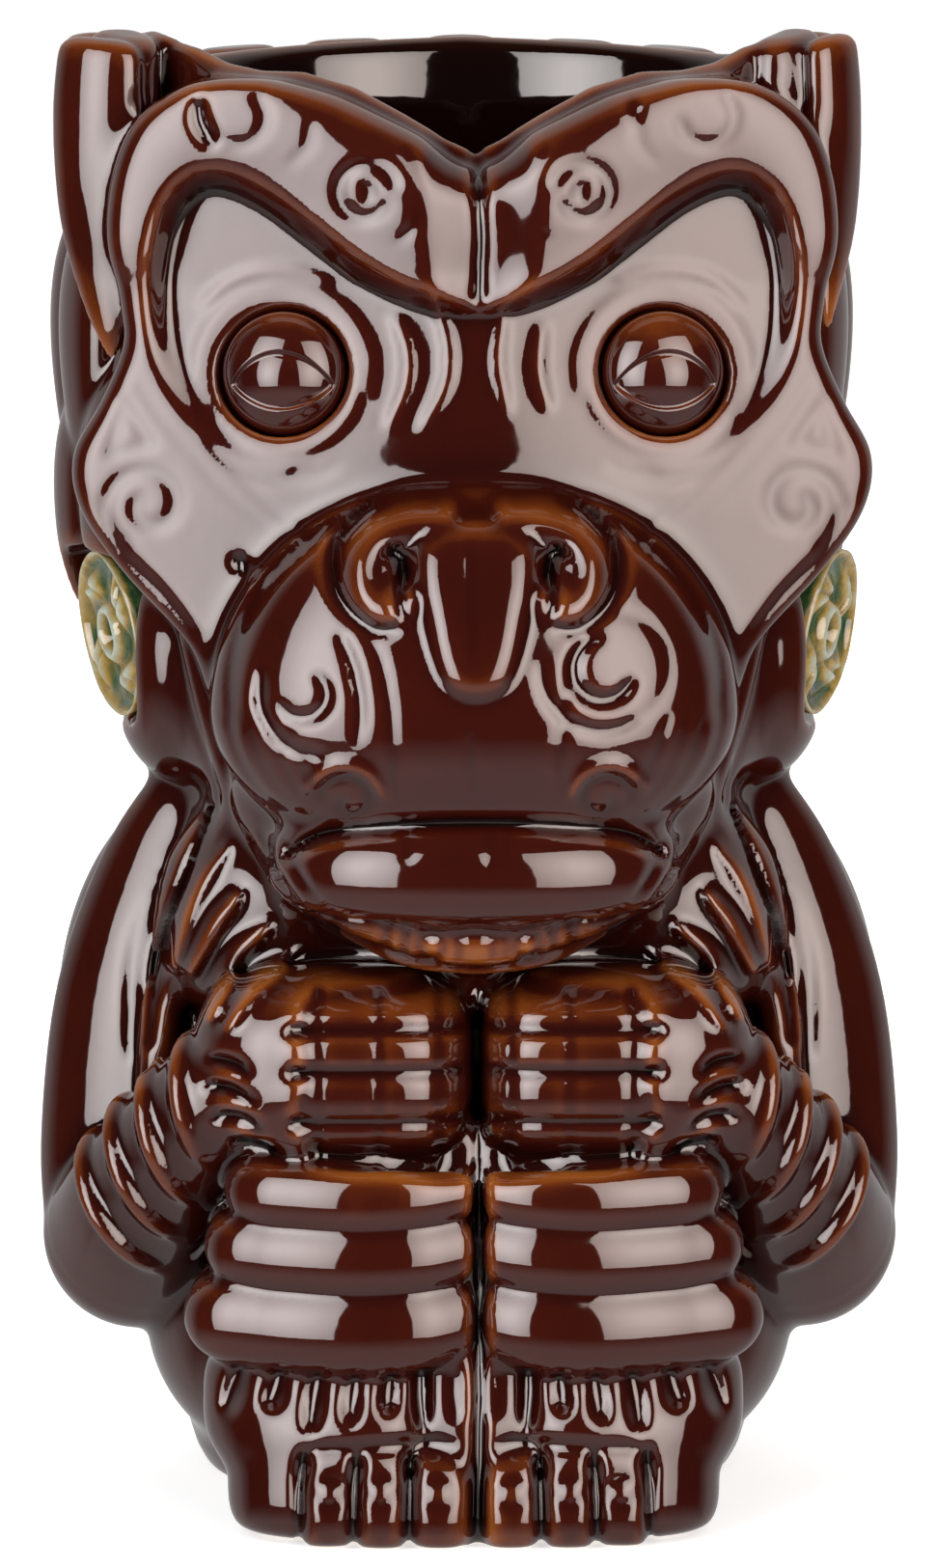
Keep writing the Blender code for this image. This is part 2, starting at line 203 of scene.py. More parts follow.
def limb(points, side=1, flat=(0, 1)):
    """A round limb through (x, y, z, radius) points, mirrored where side is -1.

    flat is (azimuth in degrees, share): the limb's thickness along that level direction, measured
    from -Y towards +X, is only this share of its width.
    """
    path = smooth_path(mirrored_points(points, side), 9).astype(np.float32)
    turn = math.radians(flat[0])
    aim = np.array([math.sin(turn), -math.cos(turn)], np.float32)
    stretch = 1 / flat[1] - 1

    def stretched(x, y):
        extra = (x * aim[0] + y * aim[1]) * stretch
        return x + extra * aim[0], y + extra * aim[1]

    def distance(x, y, z):
        found = np.full((x.size, y.size, z.size), FAR, np.float32)
        for a, b in zip(path[:-1], path[1:]):
            margin = max(a[3], b[3]) + 5
            low, high = np.minimum(a, b)[:3] - margin, np.maximum(a, b)[:3] + margin
            where, (xs, ys, zs) = window((x.ravel(), y.ravel(), z.ravel()), low, high)
            run = b - a
            run_x, run_y = stretched(run[0], run[1])
            px, py = stretched(xs - a[0], ys - a[1])
            pz = zs - a[2]
            length = max(run_x * run_x + run_y * run_y + run[2] * run[2], 1e-9)
            share = np.clip((px * run_x + py * run_y + pz * run[2]) / length, 0, 1)
            away = (px - share * run_x) ** 2 + (py - share * run_y) ** 2
            away = np.sqrt(away + (pz - share * run[2]) ** 2)
            new = (away - (a[3] + share * run[3])) * (0.4 + 0.6 * flat[1])
            found[where] = np.minimum(found[where], new)
        return found

    low = (path[:, :3] - path[:, 3:]).min(0)
    high = (path[:, :3] + path[:, 3:]).max(0)
    return Shape(low, high, distance)


def outline_distance(outline, u, v):
    """The signed distance from grid points to a closed outline, negative inside."""
    nearest = np.full(np.broadcast_shapes(u.shape, v.shape), FAR**2, np.float32)
    inside = np.zeros(nearest.shape, bool)
    for a, b in zip(outline, np.roll(outline, -1, axis=0)):
        run = b - a
        share = np.clip(((u - a[0]) * run[0] + (v - a[1]) * run[1]) / max(run @ run, 1e-9), 0, 1)
        away = (u - a[0] - share * run[0]) ** 2 + (v - a[1] - share * run[1]) ** 2
        nearest = np.minimum(nearest, away)
        if a[1] != b[1]:
            crosses = (a[1] > v) != (b[1] > v)
            inside ^= crosses & (u < a[0] + (v - a[1]) * run[0] / run[1])
    nearest = np.sqrt(nearest)
    return np.where(inside, -nearest, nearest)


def turned_distance(profile, x, y, z):
    """The signed distance to a shape turned from a closed (radius, z) outline, squashed along Y."""
    radius = np.sqrt(x**2 + ((y - AXIS_Y) / DEPTH_SHARE) ** 2)
    fine = np.linspace(0.0, 60.0, 241, dtype=np.float32)
    table = outline_distance(np.array(profile, float), fine[:, None], z.reshape(1, -1))
    position = np.clip(radius / fine[1], 0, len(fine) - 1.001)
    index = position.astype(np.int32)
    share = position - index
    rows = np.arange(z.size).reshape(1, 1, -1)
    return (table[index, rows] * (1 - share) + table[index + 1, rows] * share).astype(np.float32)


def softened(field):
    """The field averaged with its neighbours, the middle one counting for half."""
    field = field.copy()
    for axis in range(3):
        moved = np.moveaxis(field, axis, 0)
        moved[1:-1] = moved[1:-1] * 0.5 + (moved[:-2] + moved[2:]) * 0.25
    return field


class Clay:
    """A block of space on a grid. The field is the distance to the clay's skin, negative inside."""

    def __init__(self, low, high, cell):
        self.cell = cell
        self.axes = [np.arange(a, b, cell, dtype=np.float32) for a, b in zip(low, high)]
        self.field = np.full([len(axis) for axis in self.axes], FAR, np.float32)

    def near(self, shape, blend):
        """The part of the grid round a shape, and the distances to the shape there."""
        margin = blend + 3
        where, (x, y, z) = window(self.axes, shape.low - margin, shape.high + margin)
        return where, shape.distance(x, y, z)

    def press_on(self, shape, blend):
        """Adds a lump, with a fillet where it meets the clay that is there."""
        where, distance = self.near(shape, blend)
        self.field[where] = smooth_min(self.field[where], distance, blend)

    def cut_away(self, shape, blend):
        where, distance = self.near(shape, blend)
        self.field[where] = smooth_max(self.field[where], -distance, blend)

    def everywhere(self):
        return window(self.axes, [-FAR * 9] * 3, [FAR * 9] * 3)[1]


# ---- Relief seen from the front ----


class Sheet:
    """Relief heights over (x, z). Raised and carved marks are kept apart until they are applied."""

    def __init__(self, u, v):
        self.u, self.v = u, v
        self.raised = np.zeros((len(u), len(v)), np.float32)
        self.carved = np.zeros_like(self.raised)

    def share_of_width(self, points, width, tapered, closed=False):
        """How far each grid point is from a stroke, as a share of half its width there."""
        path = smooth_path(points, 6, closed)
        if closed:
            path = np.vstack([path, path[:1]])
        half = np.full(len(path), width / 2)
        if tapered:
            along = np.linspace(0.02, 0.98, len(path))
            half = half * np.sqrt(np.sin(np.pi * along))
        margin = width / 2 + self.u[1] - self.u[0]
        low, high = path[:, :2].min(0) - margin, path[:, :2].max(0) + margin
        rows = slice(np.searchsorted(self.u, low[0]), np.searchsorted(self.u, high[0]))
        columns = slice(np.searchsorted(self.v, low[1]), np.searchsorted(self.v, high[1]))
        u, v = self.u[rows, None], self.v[None, columns]
        nearest = np.full((u.size, v.size), FAR, np.float32)
        for i in range(len(path) - 1):
            a, b = path[i, :2], path[i + 1, :2]
            run = b - a
            share = ((u - a[0]) * run[0] + (v - a[1]) * run[1]) / max(run @ run, 1e-9)
            share = np.clip(share, 0, 1)
            away = np.hypot(u - a[0] - share * run[0], v - a[1] - share * run[1])
            nearest = np.minimum(nearest, away / (half[i] + share * (half[i + 1] - half[i])))
        return (rows, columns), np.minimum(nearest, 1.0)

    def groove(self, points, width, depth, tapered=False, closed=False):
        where, share = self.share_of_width(points, width, tapered, closed)
        self.carved[where] = np.maximum(self.carved[where], depth * (1 - share**2) ** 1.5)

    def ridge(self, points, width, height, tapered=False, closed=False):
        where, share = self.share_of_width(points, width, tapered, closed)
        self.raised[where] = np.maximum(self.raised[where], height * (1 - share**2) ** 1.5)

    def inside(self, outline):
        """How far each grid point lies inside a smooth outline, negative outside."""
        return -outline_distance(smooth_path(outline, 6, True), self.u[:, None], self.v[None, :])

    def sink(self, outline, depth, slope):
        """Sinks what lies inside an outline, down a wall of a given width."""
        wall = np.clip(self.inside(outline) / slope, 0, 1)
        self.carved = np.maximum(self.carved, depth * (wall * 0.7 + smooth_step(wall, 0, 1) * 0.3))

    def plateau(self, outline, rise, wall, bevel_rise, bevel):
        """Raises what lies inside an outline: a steep wall, a gentle bevel, then level."""
        inside = self.inside(outline)
        height = rise * smooth_step(inside, 0, wall)
        height += bevel_rise * np.clip((inside - wall * 0.6) / bevel, 0, 1)
        self.raised = np.maximum(self.raised, height)

    def heights(self):
        return self.raised - self.carved


def apply_front(clay, front):
    """Moves the clay's frontmost skin by the relief, where it faces forward."""
    inside = clay.field < 0
    any_clay = inside.any(axis=1)
    first = np.where(any_clay, inside.argmax(axis=1), 0)
    first_y = np.where(any_clay, clay.axes[1][first], FAR)[:, None, :]
    y = clay.axes[1].reshape(1, -1, 1)
    weight = 1 - smooth_step(y - first_y, 6.0, 9.5)
    weight *= 1 - smooth_step(first_y, -15.0, -9.0)
    clay.field -= (front.heights()[:, None, :] * weight).astype(np.float32)


# ---- The clay body: volumes ----

# Half of the mask's outline as (x, z), from the notch in the brow round the cheek to the chin.
MASK_OUTLINE = [(0, 152), (4, 153), (9, 155.4), (16, 158.3), (24, 159.8), (31, 158.8), (36.4, 155)]
MASK_OUTLINE += [(38.9, 149), (39.4, 142), (38.4, 135), (38.2, 130.5), (40.6, 124.5), (43.7, 118.5)]
MASK_OUTLINE += [(42.9, 112.5), (38.4, 106), (31.5, 98.5), (27, 91), (14, 84), (0, 82)]

# The sunk field round the eyes: half of its outline, from the root of the nose over the eye, down
# the cheek and across behind the muzzle.
EYE_FIELD = [(0, 137), (3.6, 137.1), (7.6, 138.3), (12, 140.8), (17, 144.6), (22, 148.2)]
EYE_FIELD += [(27, 150.2), (31, 149.6), (34, 146.4), (35.6, 141), (35.8, 135), (35, 129.5)]
EYE_FIELD += [(33, 125), (30, 120.8), (26, 116.4), (21, 112), (12, 106), (0, 104)]

DOME_CENTRE = (0, -33, 91.6)
DOME_WIDTH, DOME_UP, DOME_DOWN, DOME_DEPTH = 28.8, 25, 17, 16.4

FINGERS = [(59.3, 4.2), (55.1, 4.4), (50, 5.6), (44.8, 4.6)]  # (z, height) of each finger
ROLLS = [(38.6, 27.2, 3.7), (32, 29.2, 4.1), (24.2, 31.4, 4.9)]  # (z, reach, radius)


def face_surface(x, z):
    """How far forward the mask stands: two nearly flat cheeks that meet in a ridge, which is
    sharper between the brows than down at the bridge of the nose."""
    ridge = 0.9 + 1.5 * (1 - smooth_step(z, 112, 134))
    return FACE_Y + np.sqrt((CHEEK_SLOPE * x) ** 2 + ridge**2) - ridge + 0.0008 * x**2


def add_vessel(clay):
    profile = [(0, 166), (37.5, 166), (38.2, 120), (37.6, 94), (35.6, 81)]
    profile += [(37, 62), (37, 36), (34.4, 14), (31, 3), (28.5, -1.5), (0, -1.5)]
    x, y, z = clay.everywhere()
    clay.field = np.minimum(clay.field, turned_distance(profile, x, y, z))


def add_mask(clay):
    low, high = np.array([-46, -40, 78]), np.array([46, -12, 163])
    outline = smooth_path(both_sides(MASK_OUTLINE), 6, closed=True)

    def distance(x, y, z):
        side = outline_distance(outline, x[:, :, 0], z[0])[:, None, :]
        front = (face_surface(x, z) - y) * 0.96
        brow_root = (1 - smooth_step(np.abs(x), 10, 27)) * smooth_step(z, 138, 150)
        edge_round = 2.2 + 3.4 * brow_root
        near = np.maximum(edge_round - np.abs(side - front), 0)
        plate = np.maximum(side, front) + near * near * 0.25 / edge_round
        return smooth_max(plate, y - (FACE_Y + 19), 2)

    clay.press_on(Shape(low, high, distance), 1.2)


def add_muzzle(clay):
    """A flattened dome, and the jaw that fills in under it."""
    clay.press_on(ball((0, -21, 82), (26.8, 16, 15.5), power=2.2), 2)
    clay.press_on(ball((0, -22, 73), (21, 13, 10)), 2)
    below = (DOME_WIDTH, DOME_DEPTH, DOME_DOWN)
    above = (DOME_WIDTH, DOME_DEPTH * 1.8, DOME_UP)
    clay.press_on(egg(DOME_CENTRE, below, above, (2.4, 2.35, 1.85)), 1.4)


def add_mouth(clay):
    """The overhanging upper lip, the teeth and the lower lip."""
    clay.press_on(ball((0, -31.8, 74.6), (22.6, 15.9, 8), power=2.35), 1.8)
    slot = [(-16, -38, 70, 1.5), (0, -46.8, 65.9, 2.3), (16, -38, 70, 1.5)]
    clay.cut_away(limb(slot), 0.8)
    teeth = [(-12.8, -36, 69.4, 2.4), (0, -41, 67.3, 2.9), (12.8, -36, 69.4, 2.4)]
    clay.press_on(limb(teeth), 0.5)
    lower_lip = [(-13.6, -32.4, 67.2, 1.1), (-7.6, -37, 65, 1.2), (0, -39, 64.4, 1.3)]
    lower_lip += [(7.6, -37, 65, 1.2), (13.6, -32.4, 67.2, 1.1)]
    clay.press_on(limb(lower_lip), 1)


def add_ears(clay):
    folds = [[(34, -14, 105, 1.8), (30.4, -16.6, 92, 1.9), (26.6, -17, 80, 1.7)]]
    folds += [[(31.6, -19, 101, 1.5), (28.4, -20.6, 89, 1.6), (25, -19.6, 78.4, 1.4)]]
    for side in (-1, 1):
        clay.press_on(ball((side * 31, -3, 95.4), (9.4, 14.6, 15.4), power=2.3), 2)
        clay.press_on(ball((side * 24, -14, 91), (8, 9, 13)), 3)
        for fold in folds:
            clay.press_on(limb(fold, side), 0.8)


def add_arms(clay):
    upper = [(28.6, -4, 78, 7.4), (32.4, -5, 68, 9.8), (35.6, -6.6, 55, 11.2)]
    upper += [(37, -7, 40, 11.5), (37.3, -6.6, 29.6, 10.8)]
    inner = [(26, -11.6, 79, 2.2), (30.2, -12.6, 70, 2.4), (34, -13.8, 58, 2.4), (35.4, -13.6, 44, 2)]
    fore = [(37.2, -7, 29.4, 10.8), (35.4, -16, 35.6, 9.2), (31.2, -25, 43.2, 7.8)]
    fore += [(27, -29.5, 48.4, 7.6)]
    for side in (-1, 1):
        clay.press_on(limb(upper, side, (side * 13, 0.52)), 1.4)
        clay.press_on(ball((side * 28, 5, 52), (18.6, 16, 28)), 2)
        clay.press_on(limb(inner, side), 1)
        clay.press_on(limb(fore, side), 0.5)
        clay.press_on(ball((side * 21, -15, 67), (14, 11, 14)), 3)


def add_bracelets(clay):
    """Four thin discs across each forearm, overlapping like scales."""
    bands = [((29.4, -28.8, 47.6), (0.90, 0.36, 0.24), 8.2), ((32.6, -25.6, 43.8), (0.86, 0.38, 0.32), 8.6)]
    bands += [((35.2, -21.4, 39.4), (0.78, 0.42, 0.42), 8.9), ((37.6, -17, 35), (0.70, 0.46, 0.50), 9.2)]
    for side in (-1, 1):
        for centre, (across, back, up), radius in bands:
            place = (side * centre[0], *centre[1:])
            clay.press_on(ball(place, (2.3, radius, radius), axis=(-side * across, -back, up)), 0.4)


def add_hands(clay):
    """Two fists side by side, each broad and gently curved over the back of the hand."""
    for side in (-1, 1):
        inner, outer = 12.3, 19.4
        left, right = (inner, outer) if side > 0 else (outer, inner)
        fist = egg((side * 11.5, -29.4, 52.2), (left, 12.8, 11.2), (right, 9, 10.8), (3, 2.4, 3))
        clay.press_on(fist, 1)
        clay.press_on(ball((side * 14, -27, 42), (14, 12.4, 5)), 1.2)


def leg_roll(z, reach, radius):
    """One roll of a folded leg: from the middle, round the front and back along the side."""
    front = -43.2 + radius * 0.62
    end = reach - radius
    roll = [(0.4 + radius * 0.6, front + 1.5, z + 0.8, radius * 0.9)]
    for x, back, up in ((7.4, 0.1, 0.2), (11.5, 0, -0.1), (14.5, 0.4, -0.1), (18, 1.4, 0), (21.5, 2.8, 0.1)):
        roll += [(x, front + back, z + up, radius)]
    for x, back, up in ((end, 5.2, 0.4), (end + 0.2, 11, 0.7), (end - 1, 18, 1)):
        roll += [(x, front + back, z + up, radius)]
    return roll


def add_legs(clay):
    """The folded legs as three stacked rolls, the haunches behind them, and the feet."""
    for side in (-1, 1):
        for z, reach, radius in ROLLS:
            clay.press_on(limb(leg_roll(z, reach, radius), side, (0, 0.62)), 0.4)
        clay.press_on(ball((side * 16, -22, 30), (11, 13.6, 14)), 0.8)
        clay.press_on(ball((side * 21, -2, 20), (15.6, 20, 17)), 2)
        instep = ball((side * 14.6, -26, 15), (14.2, 14, 9), (side * 0.94, 0.34, 0), 3)
        clay.press_on(instep, 1)
        sole = ball((side * 13, -25.4, 8), (12.8, 16.5, 9.4), (side * 0.96, 0.28, 0), (3, 3, 5))
        clay.press_on(sole, 1.5)
        for x, front in ((3.9, -43), (10.2, -43), (16.1, -42)):
            toe = egg((side * x, front + 5, 4.4), (3.8, 5, 6), (3.8, 9, 6.2), (2.8, 2.4, 2.8))
            clay.press_on(toe, 1.2)
    between = [(0, -31, 3, 9.6), (0, -31, 16, 9.6), (0, -28, 30, 9.6), (0, -26, 42, 8.6), (0, -25, 58, 7)]
    clay.press_on(limb(between), 1)


def add_hair(clay):
    """Leaf-shaped locks in three staggered rows, laid over a thick cap of hair."""
    profile = [(0, 166), (38.4, 166), (39.4, 150), (40.2, 130), (39, 108), (35, 97)]
    profile += [(0, 97)]
    x, y, z = clay.everywhere()
    cap = turned_distance(profile, x, y, z)
    clay.field = np.minimum(clay.field, cap + (1 - smooth_step(y, -16, -7)) * 8)
    rows = [(128, 99, 38.6, 0), (147, 113, 38.8, 0.5), (172, 131, 38, 0)]
    count = 13
    first, last = 66, 294  # degrees from the front, round the back
    for top, tip, out, shift in rows:
        for i in range(count):
            turn = first + (last - first) * (i + shift) / (count - 1)
            if turn > last:
                continue
            wander = math.sin(7.3 * i + top)
            behind = 0.5 - 0.5 * math.cos(math.radians(turn))
            drop = (DESIGN_HEIGHT - tip) * 0.3 * behind**2 + 2.2 * wander
            add_lock(clay, turn, top - drop * 0.5, tip - drop, out + 2.6 * behind**3)


def add_lock(clay, turn, top, tip, out):
    angle = math.radians(turn)
    if turn > 180:
        out += 3.6 * max(-math.sin(angle), 0)  # the hair is thicker on the figure's right
    lean = 2.6 * math.sin(2 * angle) + 2.4 * math.sin(5.1 * turn)
    knots = []
    for share, radius, swell in ((0, 3.6, -1), (0.28, 6.6, 0.6), (0.62, 5.4, 0.8), (1, 0.9, 0.4)):
        around = angle + math.radians(lean * share)
        x = math.sin(around) * (out + swell)
        y = AXIS_Y - math.cos(around) * (out + swell) * DEPTH_SHARE
        knots.append((x, y, top + (tip - top) * share, radius))
    clay.press_on(limb(knots, flat=(turn, 0.55)), 0.5)


def add_temple_locks(clay):
    """The broad locks that stand at the rim beside the mask."""
    right = [(-40.6, -13, 166, 4.6), (-41.2, -13.6, 156, 5.2), (-41.4, -14, 145, 4.4)]
    right += [(-40.2, -15, 136, 3.2), (-39.6, -15.6, 129, 0.9)]
    clay.press_on(limb(right, flat=(-24, 0.5)), 0.6)
    left = [(39.6, -10, 167, 3.6), (40.2, -11, 156, 4), (40, -12, 144, 3.6)]
    left += [(39.4, -13, 132, 0.9)]
    clay.press_on(limb(left, flat=(46, 0.5)), 0.6)


def rim_height(x, y):
    """The rim's height round the mouth: a deep notch over the brow, peaks over the temples."""
    angle = np.degrees(np.abs(np.arctan2(x, AXIS_Y - y)))
    stops = [0, 5.7, 12.8, 22.4, 32.6, 41.5, 50, 58, 72, 86, 98, 125, 155, 180]
    heights = [152.4, 153.4, 155.8, 158.8, 160.4, 160.4, 161.2, 163, 164.3, 163.4]
    heights += [161, 160.2, 161.2, 161.8]
    return np.interp(angle, stops, heights).astype(np.float32)


def hollow_out(clay):
    """Drains the slip: an oval drinking space, and the backs of the muzzle, hands and knees."""
    x, y, z = clay.everywhere()
    profile = [(0, 190), (39.6, 190), (36, 165), (34.5, 160), (33.8, 155), (33.7, 147), (32.8, 120)]
    profile += [(31.8, 84), (31, 50), (29, 20), (26, 11.5), (20, FLOOR_Z), (0, FLOOR_Z)]
    hollow = turned_distance(profile, x, y, z)
    for shape in (
        ball((0, -24, 93), (22, 17, 16)),
        ball((0, -20, 50), (19, 12, 12)),
        ball((0, -19, 27), (18, 13, 13)),
    ):
        hollow = smooth_min(hollow, shape.distance(x, y, z), 6)
    clay.field = smooth_max(clay.field, z - rim_height(x, y), 2)
    clay.field = smooth_max(clay.field, -hollow, 2.2).astype(np.float32)
    return hollow


def flatten_foot(clay):
    x, y, z = clay.everywhere()
    clay.field = smooth_max(clay.field, -z, 1.6)
    recess = np.sqrt(x**2 + (y - AXIS_Y) ** 2) - 20
    recess = smooth_max(recess, z - 1.5, 1)
    clay.field = smooth_max(clay.field, -recess, 0.6).astype(np.float32)


# ---- The clay body: carving ----


def draw(mark, strokes, sides=(-1, 1), tapered=True):
    """Draws (points, width, height) strokes with one kind of mark. The points are for the +X side."""
    for points, width, height in strokes:
        for side in sides:
            mark(mirrored_points(points, side), width, height, tapered=tapered)


def ring(x, z, radius):
    return spiral((x, z), radius, radius, 0, 1)


def carve_face(front):
    """The sunk field round the eyes, the swelling of the brow and the lines that leave the field."""
    fade = np.clip((front.v - 117) / 20, 0, 1)[None, :]
    front.sink(both_sides(EYE_FIELD), 3.4 * fade, 2.9)
    brow = [(3, 145), (7, 146.8), (11.6, 149.6), (16, 152.4), (21, 154.6), (26.6, 155.2)]
    brow += [(31.6, 153.4), (35, 149.4), (37.2, 143)]
    draw(front.ridge, [(brow, 13, 0.7)], tapered=False)
    leaving = [([(34, 127), (31, 122.4), (27, 118), (21.5, 113), (17, 109.5)], 2.2, 0.12)]
    leaving += [([(37, 127.6), (34.4, 123.6), (30.4, 119), (27.2, 115.4), (22, 111)], 2, 0.1)]
    draw(front.groove, leaving)
    front.groove([(0.2, 158), (0.5, 150), (0.8, 143), (0.6, 133)], 15, 2, tapered=True)
    front.groove([(0.2, 155), (0.5, 149), (0.8, 143), (0.6, 136.4)], 1.9, 3.4)


def carve_brow_marks(front):
    """Scrolls and commas along the brow band."""
    scroll = (11.8, 147.6)
    scrolls = [(spiral(scroll, 3.4, 2.4, 160, -0.85), 1.7, 0.45)]
    scrolls += [(spiral(scroll, 0.9, 0.6, 90, 0.5), 1.5, 0.5)]
    draw(front.groove, scrolls, tapered=False)
    for x in (-25.4, 25.4):
        front.groove(spiral((x, 155.8), 3.3, 2.8, 190, 0.6), 1.7, 0.28)
    hooks = [([(17.6, 155.4), (18, 152.6), (20, 150.6)], 1.6, 0.18)]
    hooks += [([(7.6, 152.6), (6, 148.6), (6.4, 144.4), (8.2, 142.6)], 1.7, 0.35)]
    draw(front.groove, hooks)
    commas = [([(-29.8, 157.4), (-29.6, 155), (-28.2, 152.6)], 2.2, 1.3)]
    commas += [([(17.2, 157.6), (17.4, 155.2)], 1.2, 0.6)]
    draw(front.groove, commas, sides=(1,))


def carve_eye_marks(front, eye):
    """The ridges and sickle cuts round an eye, given as if it were at the origin on the +X side."""
    side = 1 if eye.x > 0 else -1
    ridges = [(spiral((0, 0), 9.4, 9.4, -30, 0.62), 2.8, 0.3)]
    ridges += [([(9, 7), (6.6, 9.4), (3.2, 10.9), (-1, 11.2), (-5, 10.2)], 1.8, 0.4)]
    grooves = [(spiral((0, 0), 11.4, 11.4, -25, 0.6), 2.2, 0.24)]
    grooves += [(spiral((0, 0), 11.2, 11.2, 220, 0.28), 2, 0.3)]
    grooves += [([(10.6, 6.2), (9.2, 9.4), (6.4, 11.6), (2.6, 12.8), (-1.4, 12.8)], 2, 1)]
    grooves += [([(-0.4, -10.6), (-3.2, -9.7), (-5, -7.9)], 1.8, 0.3)]
    for mark, strokes in ((front.ridge, ridges), (front.groove, grooves)):
        placed = [([(eye.x + side * u, eye.z + v) for u, v in row[0]], *row[1:]) for row in strokes]
        draw(mark, placed, sides=(1,))
    front.ridge(ring(eye.x, eye.z, 8), 1.7, 0.25, closed=True)


def carve_nose_bridge(front):
    """The sickle cuts beside the nose. They aren't alike on the two sides."""
    cuts = [([(-10.8, 134.4), (-9.4, 131), (-9, 127), (-10.4, 122)], 2.4, 1.2)]
    cuts += [([(-6.9, 137), (-5, 132.6), (-4.7, 127.4), (-7, 122)], 2.6, 1.3)]
    cuts += [([(5.2, 134.6), (4.6, 129.4), (5.5, 123.8)], 2.2, 1.2)]
    cuts += [([(9, 133.4), (8.7, 128.4), (9.8, 123.8)], 1.7, 0.9)]
    draw(front.groove, cuts, sides=(1,))
    lips = [[(-4.8, 136.6), (-2.9, 132), (-3, 127), (-5.4, 122.4)]]
    lips += [[(-8.6, 134.2), (-7.2, 130.4), (-7.4, 126.6), (-9.2, 122.4)]]
    lips += [[(3.2, 134.6), (2.6, 129.2), (3.6, 123.8)], [(7.4, 133.4), (7, 128.4), (8, 124.2)]]
    draw(front.ridge, [(points, 2, 0.6) for points in lips], sides=(1,))


def carve_cheek_marks(front):
    """A small triangle and a scroll on each cheek, and a pit."""
    corners = [(38.2, 124.4), (39.6, 118.8), (35.2, 120)]
    plain = [([a, b], 1.9, 0.2) for a, b in zip(corners, corners[1:] + corners[:1])]
    plain += [(spiral((35.4, 113.4), 5, 1.2, -60, 1.25), 2.2, 0.26)]
    draw(front.groove, plain, tapered=False)
    draw(front.groove, [([(41, 113.6), (38.4, 108.4), (33.6, 103.4), (30, 99)], 2, 0.5)])
    front.groove([(-25.5, 107.6), (-25.2, 106.7)], 1.6, 1.1)


def carve_nose(front):
    """Two scrolled nostrils, and the long front of the nose that narrows to its tip."""
    scroll = [(3.4, 113), (7.2, 112.9), (10.6, 111.6), (12.3, 108.8), (11.9, 105.6)]
    scroll += [(9.9, 104), (8.2, 104.6)]
    draw(front.ridge, [(scroll, 5.2, 1.2)], tapered=False)
    round_it = [([(9.4, 109.8), (8.4, 109.4), (7.9, 107.6), (8.2, 105.4), (7.8, 103)], 1.9, 1.5)]
    round_it += [([(11, 114.4), (15, 110.4), (14.9, 105.4), (11.4, 101.8), (8.4, 101.8)], 2.2, 0.8)]
    draw(front.groove, round_it)
    panel = [(0, 113.6), (4, 113.4), (6.6, 111), (6.8, 107.6), (5.8, 102.8), (4.6, 98)]
    panel += [(3, 95.2), (0, 94.2)]
    front.plateau(both_sides(panel), 0.8, 0.8, 0.6, 1.7)


def carve_muzzle(front):
    """The muzzle's rim, scrolls, wrinkles and the furrow down to the lip."""
    rim = [(9.4, 114.6), (15.6, 112), (20.8, 107.8), (24.4, 102.6), (26.2, 96.6), (26.2, 90)]
    furrow = [(12, 101.4), (10.4, 98.6), (9.4, 93.6), (9.1, 88.6), (9.3, 83.6)]
    paired = [(rim, 2, 0.5), (furrow, 1.2, 0.45)]
    for inset in (0, 2.1, 4.2, 6.3):
        rib = [(27 - inset, 92), (25 - inset, 86.4), (21.6 - inset, 82), (17.4 - inset, 79.6)]
        paired += [(rib, 1.8, 0.3)]
    for x in (19, 21.6):
        paired += [([(x + 1.6, 78), (x, 74.4), (x - 2.4, 71.2)], 1.2, 0.4)]
    draw(front.groove, paired)
    draw(front.groove, [(spiral((13.6, 83.2), 3.2, 1, 0, 1), 1.4, 0.6)], tapered=False)
    draw(front.ridge, [([(18.6, 84), (15.6, 86.6), (12, 86.2), (9.6, 83.2)], 2, 0.6)])
    single = [(spiral((-18.6, 94.8), 3, 2.4, 200, 0.6), 1.8, 0.7)]
    single += [([(-23, 97), (-22.9, 92.6), (-20.4, 89), (-16.6, 88)], 2, 0.7)]
    single += [([(-14.8, 101.4), (-13.2, 97.6), (-12.5, 93.4), (-12.6, 89.6)], 1.2, 0.8)]
    single += [(spiral((13.8, 97.2), 3.6, 3, 100, 0.66), 2.4, 1)]
    single += [(spiral((14, 97.4), 7.2, 6.4, 172, 0.36), 1.6, 0.7)]
    single += [(spiral((14.6, 97.4), 5.8, 6.2, 130, -0.55), 1.8, 0.16)]
    single += [([(-0.7, 91.6), (-0.6, 87.6), (-0.3, 83)], 1.2, 0.3)]
    single += [([(-0.6, 111), (-0.6, 104), (-0.5, 98.6)], 2.2, 0.14)]
    draw(front.groove, single, sides=(1,))


def tooth_line(x):
    """The height of the middle of the teeth, which curve up at the ends."""
    return 66.4 + 0.013 * x**2


